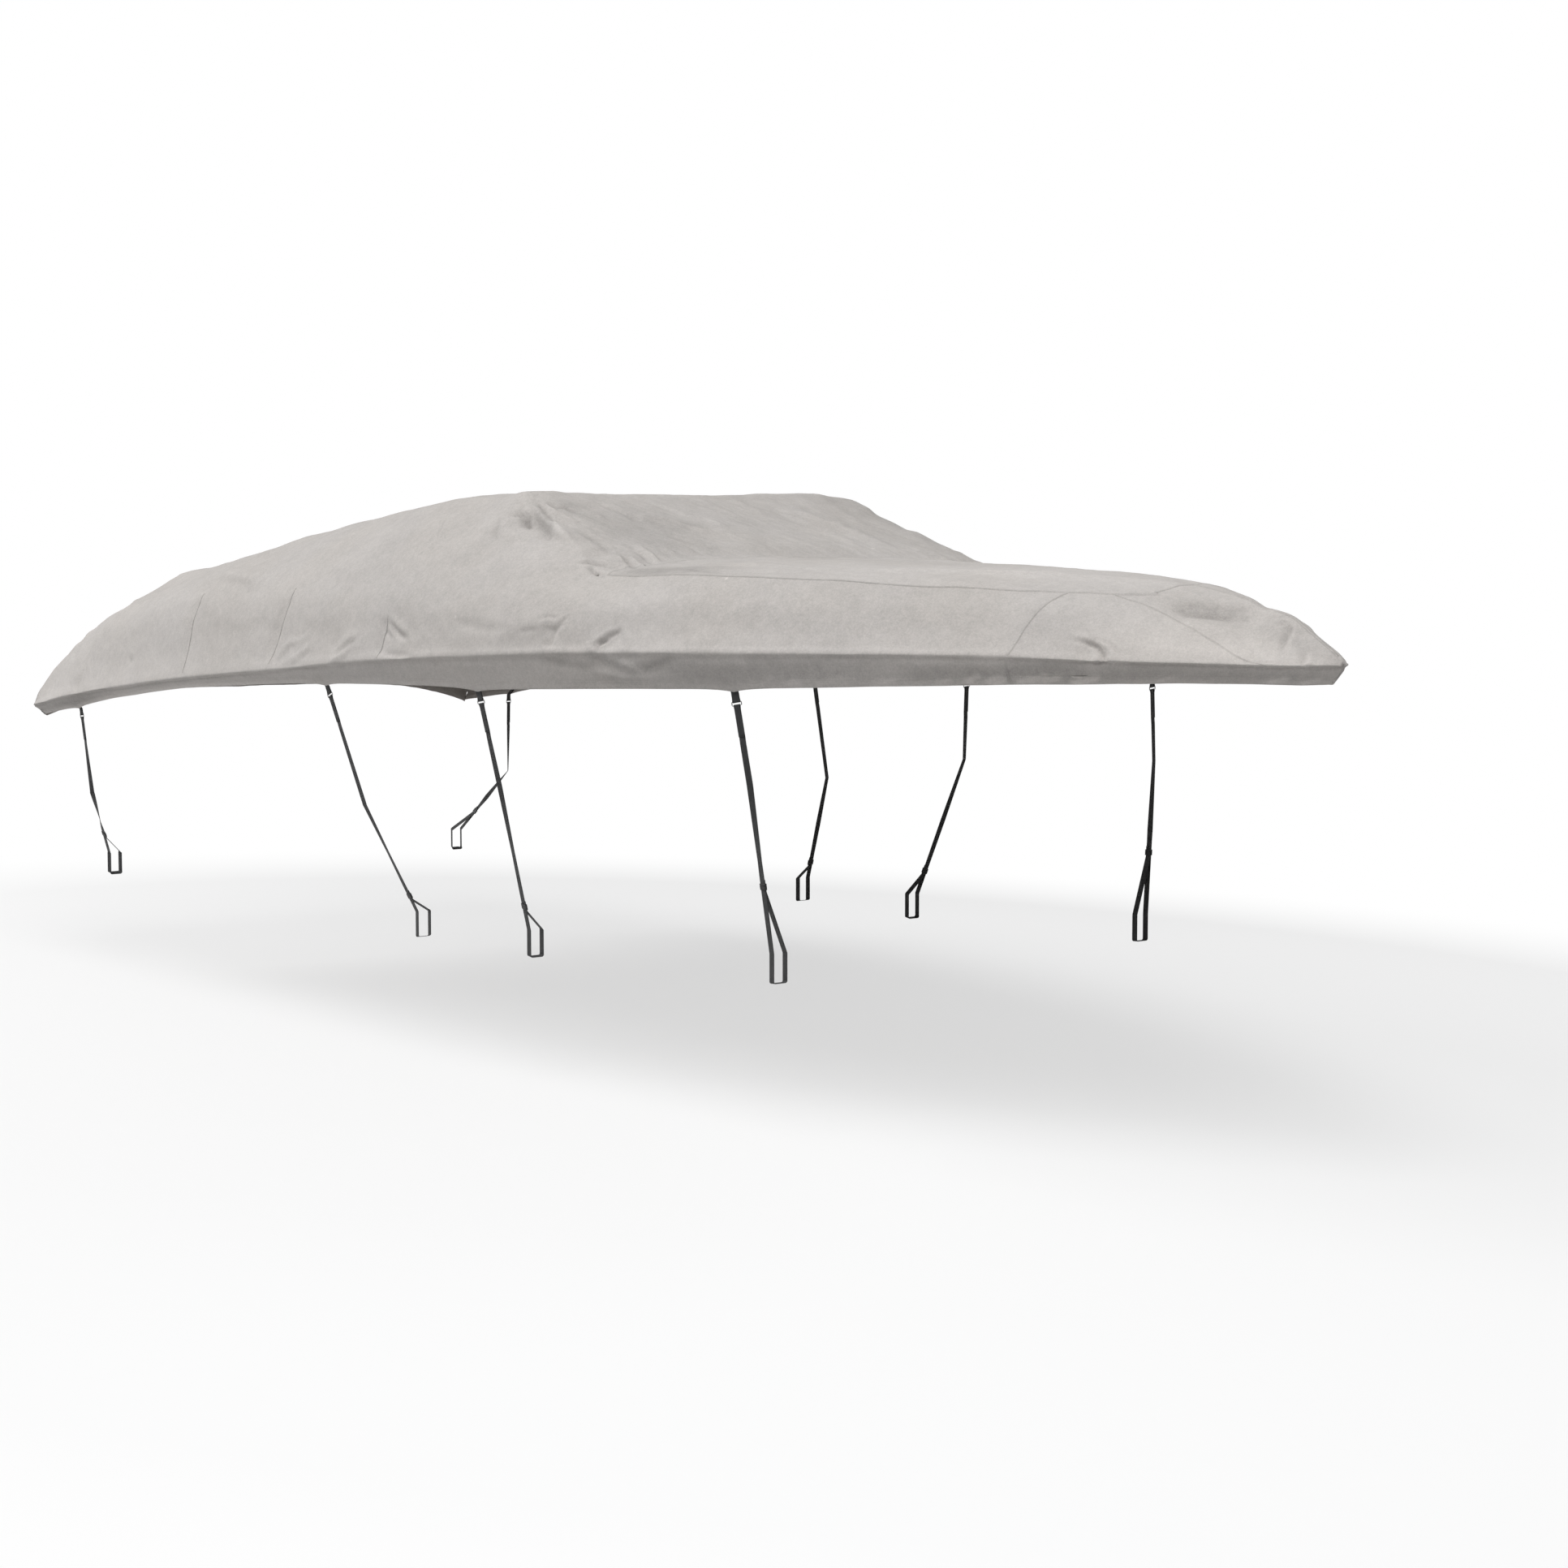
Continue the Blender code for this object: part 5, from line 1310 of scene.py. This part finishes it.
def make_floor():
    """A pale floor that goes over into white further out."""
    n = Nodes(bpy.data.materials.new("pale_floor"))
    flat = n.vector("MULTIPLY", n.place(), (0.7, 1.0, 0.0))
    far = n.vector("LENGTH", flat, output="Value")
    seen = n.new("ShaderNodeLightPath", output="Is Camera Ray")
    glow = n.between(seen, 0.0, 1.0, FLOOR_GLOW, 1.0)
    white = n.new("ShaderNodeEmission", {"Color": (1, 1, 1, 1), "Strength": glow})
    share = n.math("MAXIMUM", n.between(far, FLOOR_NEAR, FLOOR_FAR), seen * FLOOR_PALE)
    mixed = n.new("ShaderNodeMixShader", {0: share, 1: Value(n, n.shader.outputs[0]), 2: white})
    n.put(n.tree.nodes["Material Output"], "Surface", mixed)
    mesh = bpy.data.meshes.new("floor")
    corners = ((-1, -1), (1, -1), (1, 1), (-1, 1))
    mesh.from_pydata([(x * FLOOR_HALF, y * FLOOR_HALF, GROUND) for x, y in corners], [], [(0, 1, 2, 3)])
    mesh.materials.append(n.shade(Base_Color=(0.80, 0.80, 0.80, 1), Roughness=0.9, Specular_IOR_Level=0.1))
    linked("floor", mesh)


def make_world():
    """White behind the part, and soft light from above."""
    world = bpy.data.worlds.new("studio")
    bpy.context.scene.world = world
    n = Nodes(world)
    n.tree.nodes.clear()
    up = n.parts(n.new("ShaderNodeTexCoord", output="Generated"))[2]
    rise = n.new("ShaderNodeMapRange", {"Value": up, "From Max": 0.8, "To Min": SKY_LEVEL, "To Max": SKY_UP})
    light = n.new("ShaderNodeBackground", {"Color": (0.98, 0.99, 1.0, 1), "Strength": rise})
    white = n.new("ShaderNodeBackground", {"Color": (1, 1, 1, 1)})
    seen = n.new("ShaderNodeLightPath", output="Is Camera Ray")
    n.node("ShaderNodeOutputWorld", {"Surface": n.new("ShaderNodeMixShader", {0: seen, 1: light, 2: white})})


def make_lamps():
    for name, azimuth, height, power in LAMPS:
        data = bpy.data.lights.new(name, "AREA")
        data.shape, data.size, data.energy = "DISK", LAMP_SIZE, power
        back = way_to(azimuth, height)
        aim(linked(name, data), back * LAMP_FAR + Vector((0, 0, -0.5)), back)


# ---------------------------------------------------------------------------------------------------------------
# Putting it together.

scene = bpy.context.scene
scene.view_settings.view_transform = "Standard"
scene.view_settings.look = "None"
make_camera()
make_floor()
make_world()
make_lamps()

cloth = cloth_material()
PANELS = {  # the flat width and length that each was cut from
    "main_panel": (3.25, 6.20),
    "foredeck_panel": (1.83, 1.88),
    "bow_side_port": (0.62, 0.94),
    "bow_side_starboard": (0.62, 0.94),
}
pieces = {name: Piece() for name in PANELS}
cloth_grid(pieces)
for panel, places, width, towards in SEAMS:
    lap(pieces[panel], 1, places, width, towards)
for panel, places, width, towards in PAIRED_SEAMS:
    for side, side_name in SIDE_NAMES.items():
        lap(pieces.get(panel) or pieces[f"{panel}_{side_name}"], side, places, width, towards * side)
for name, flat in PANELS.items():
    obj = pieces[name].make("sewn_" + name, cloth)
    finish_piece(obj, name)

black, metal, moulded = webbing_material(), metal_material(), plastic_material()
for strap_row in STRAPS:
    for strap_side in (STARBOARD, PORT):
        tie_down(strap_row, strap_side, black, metal, moulded)
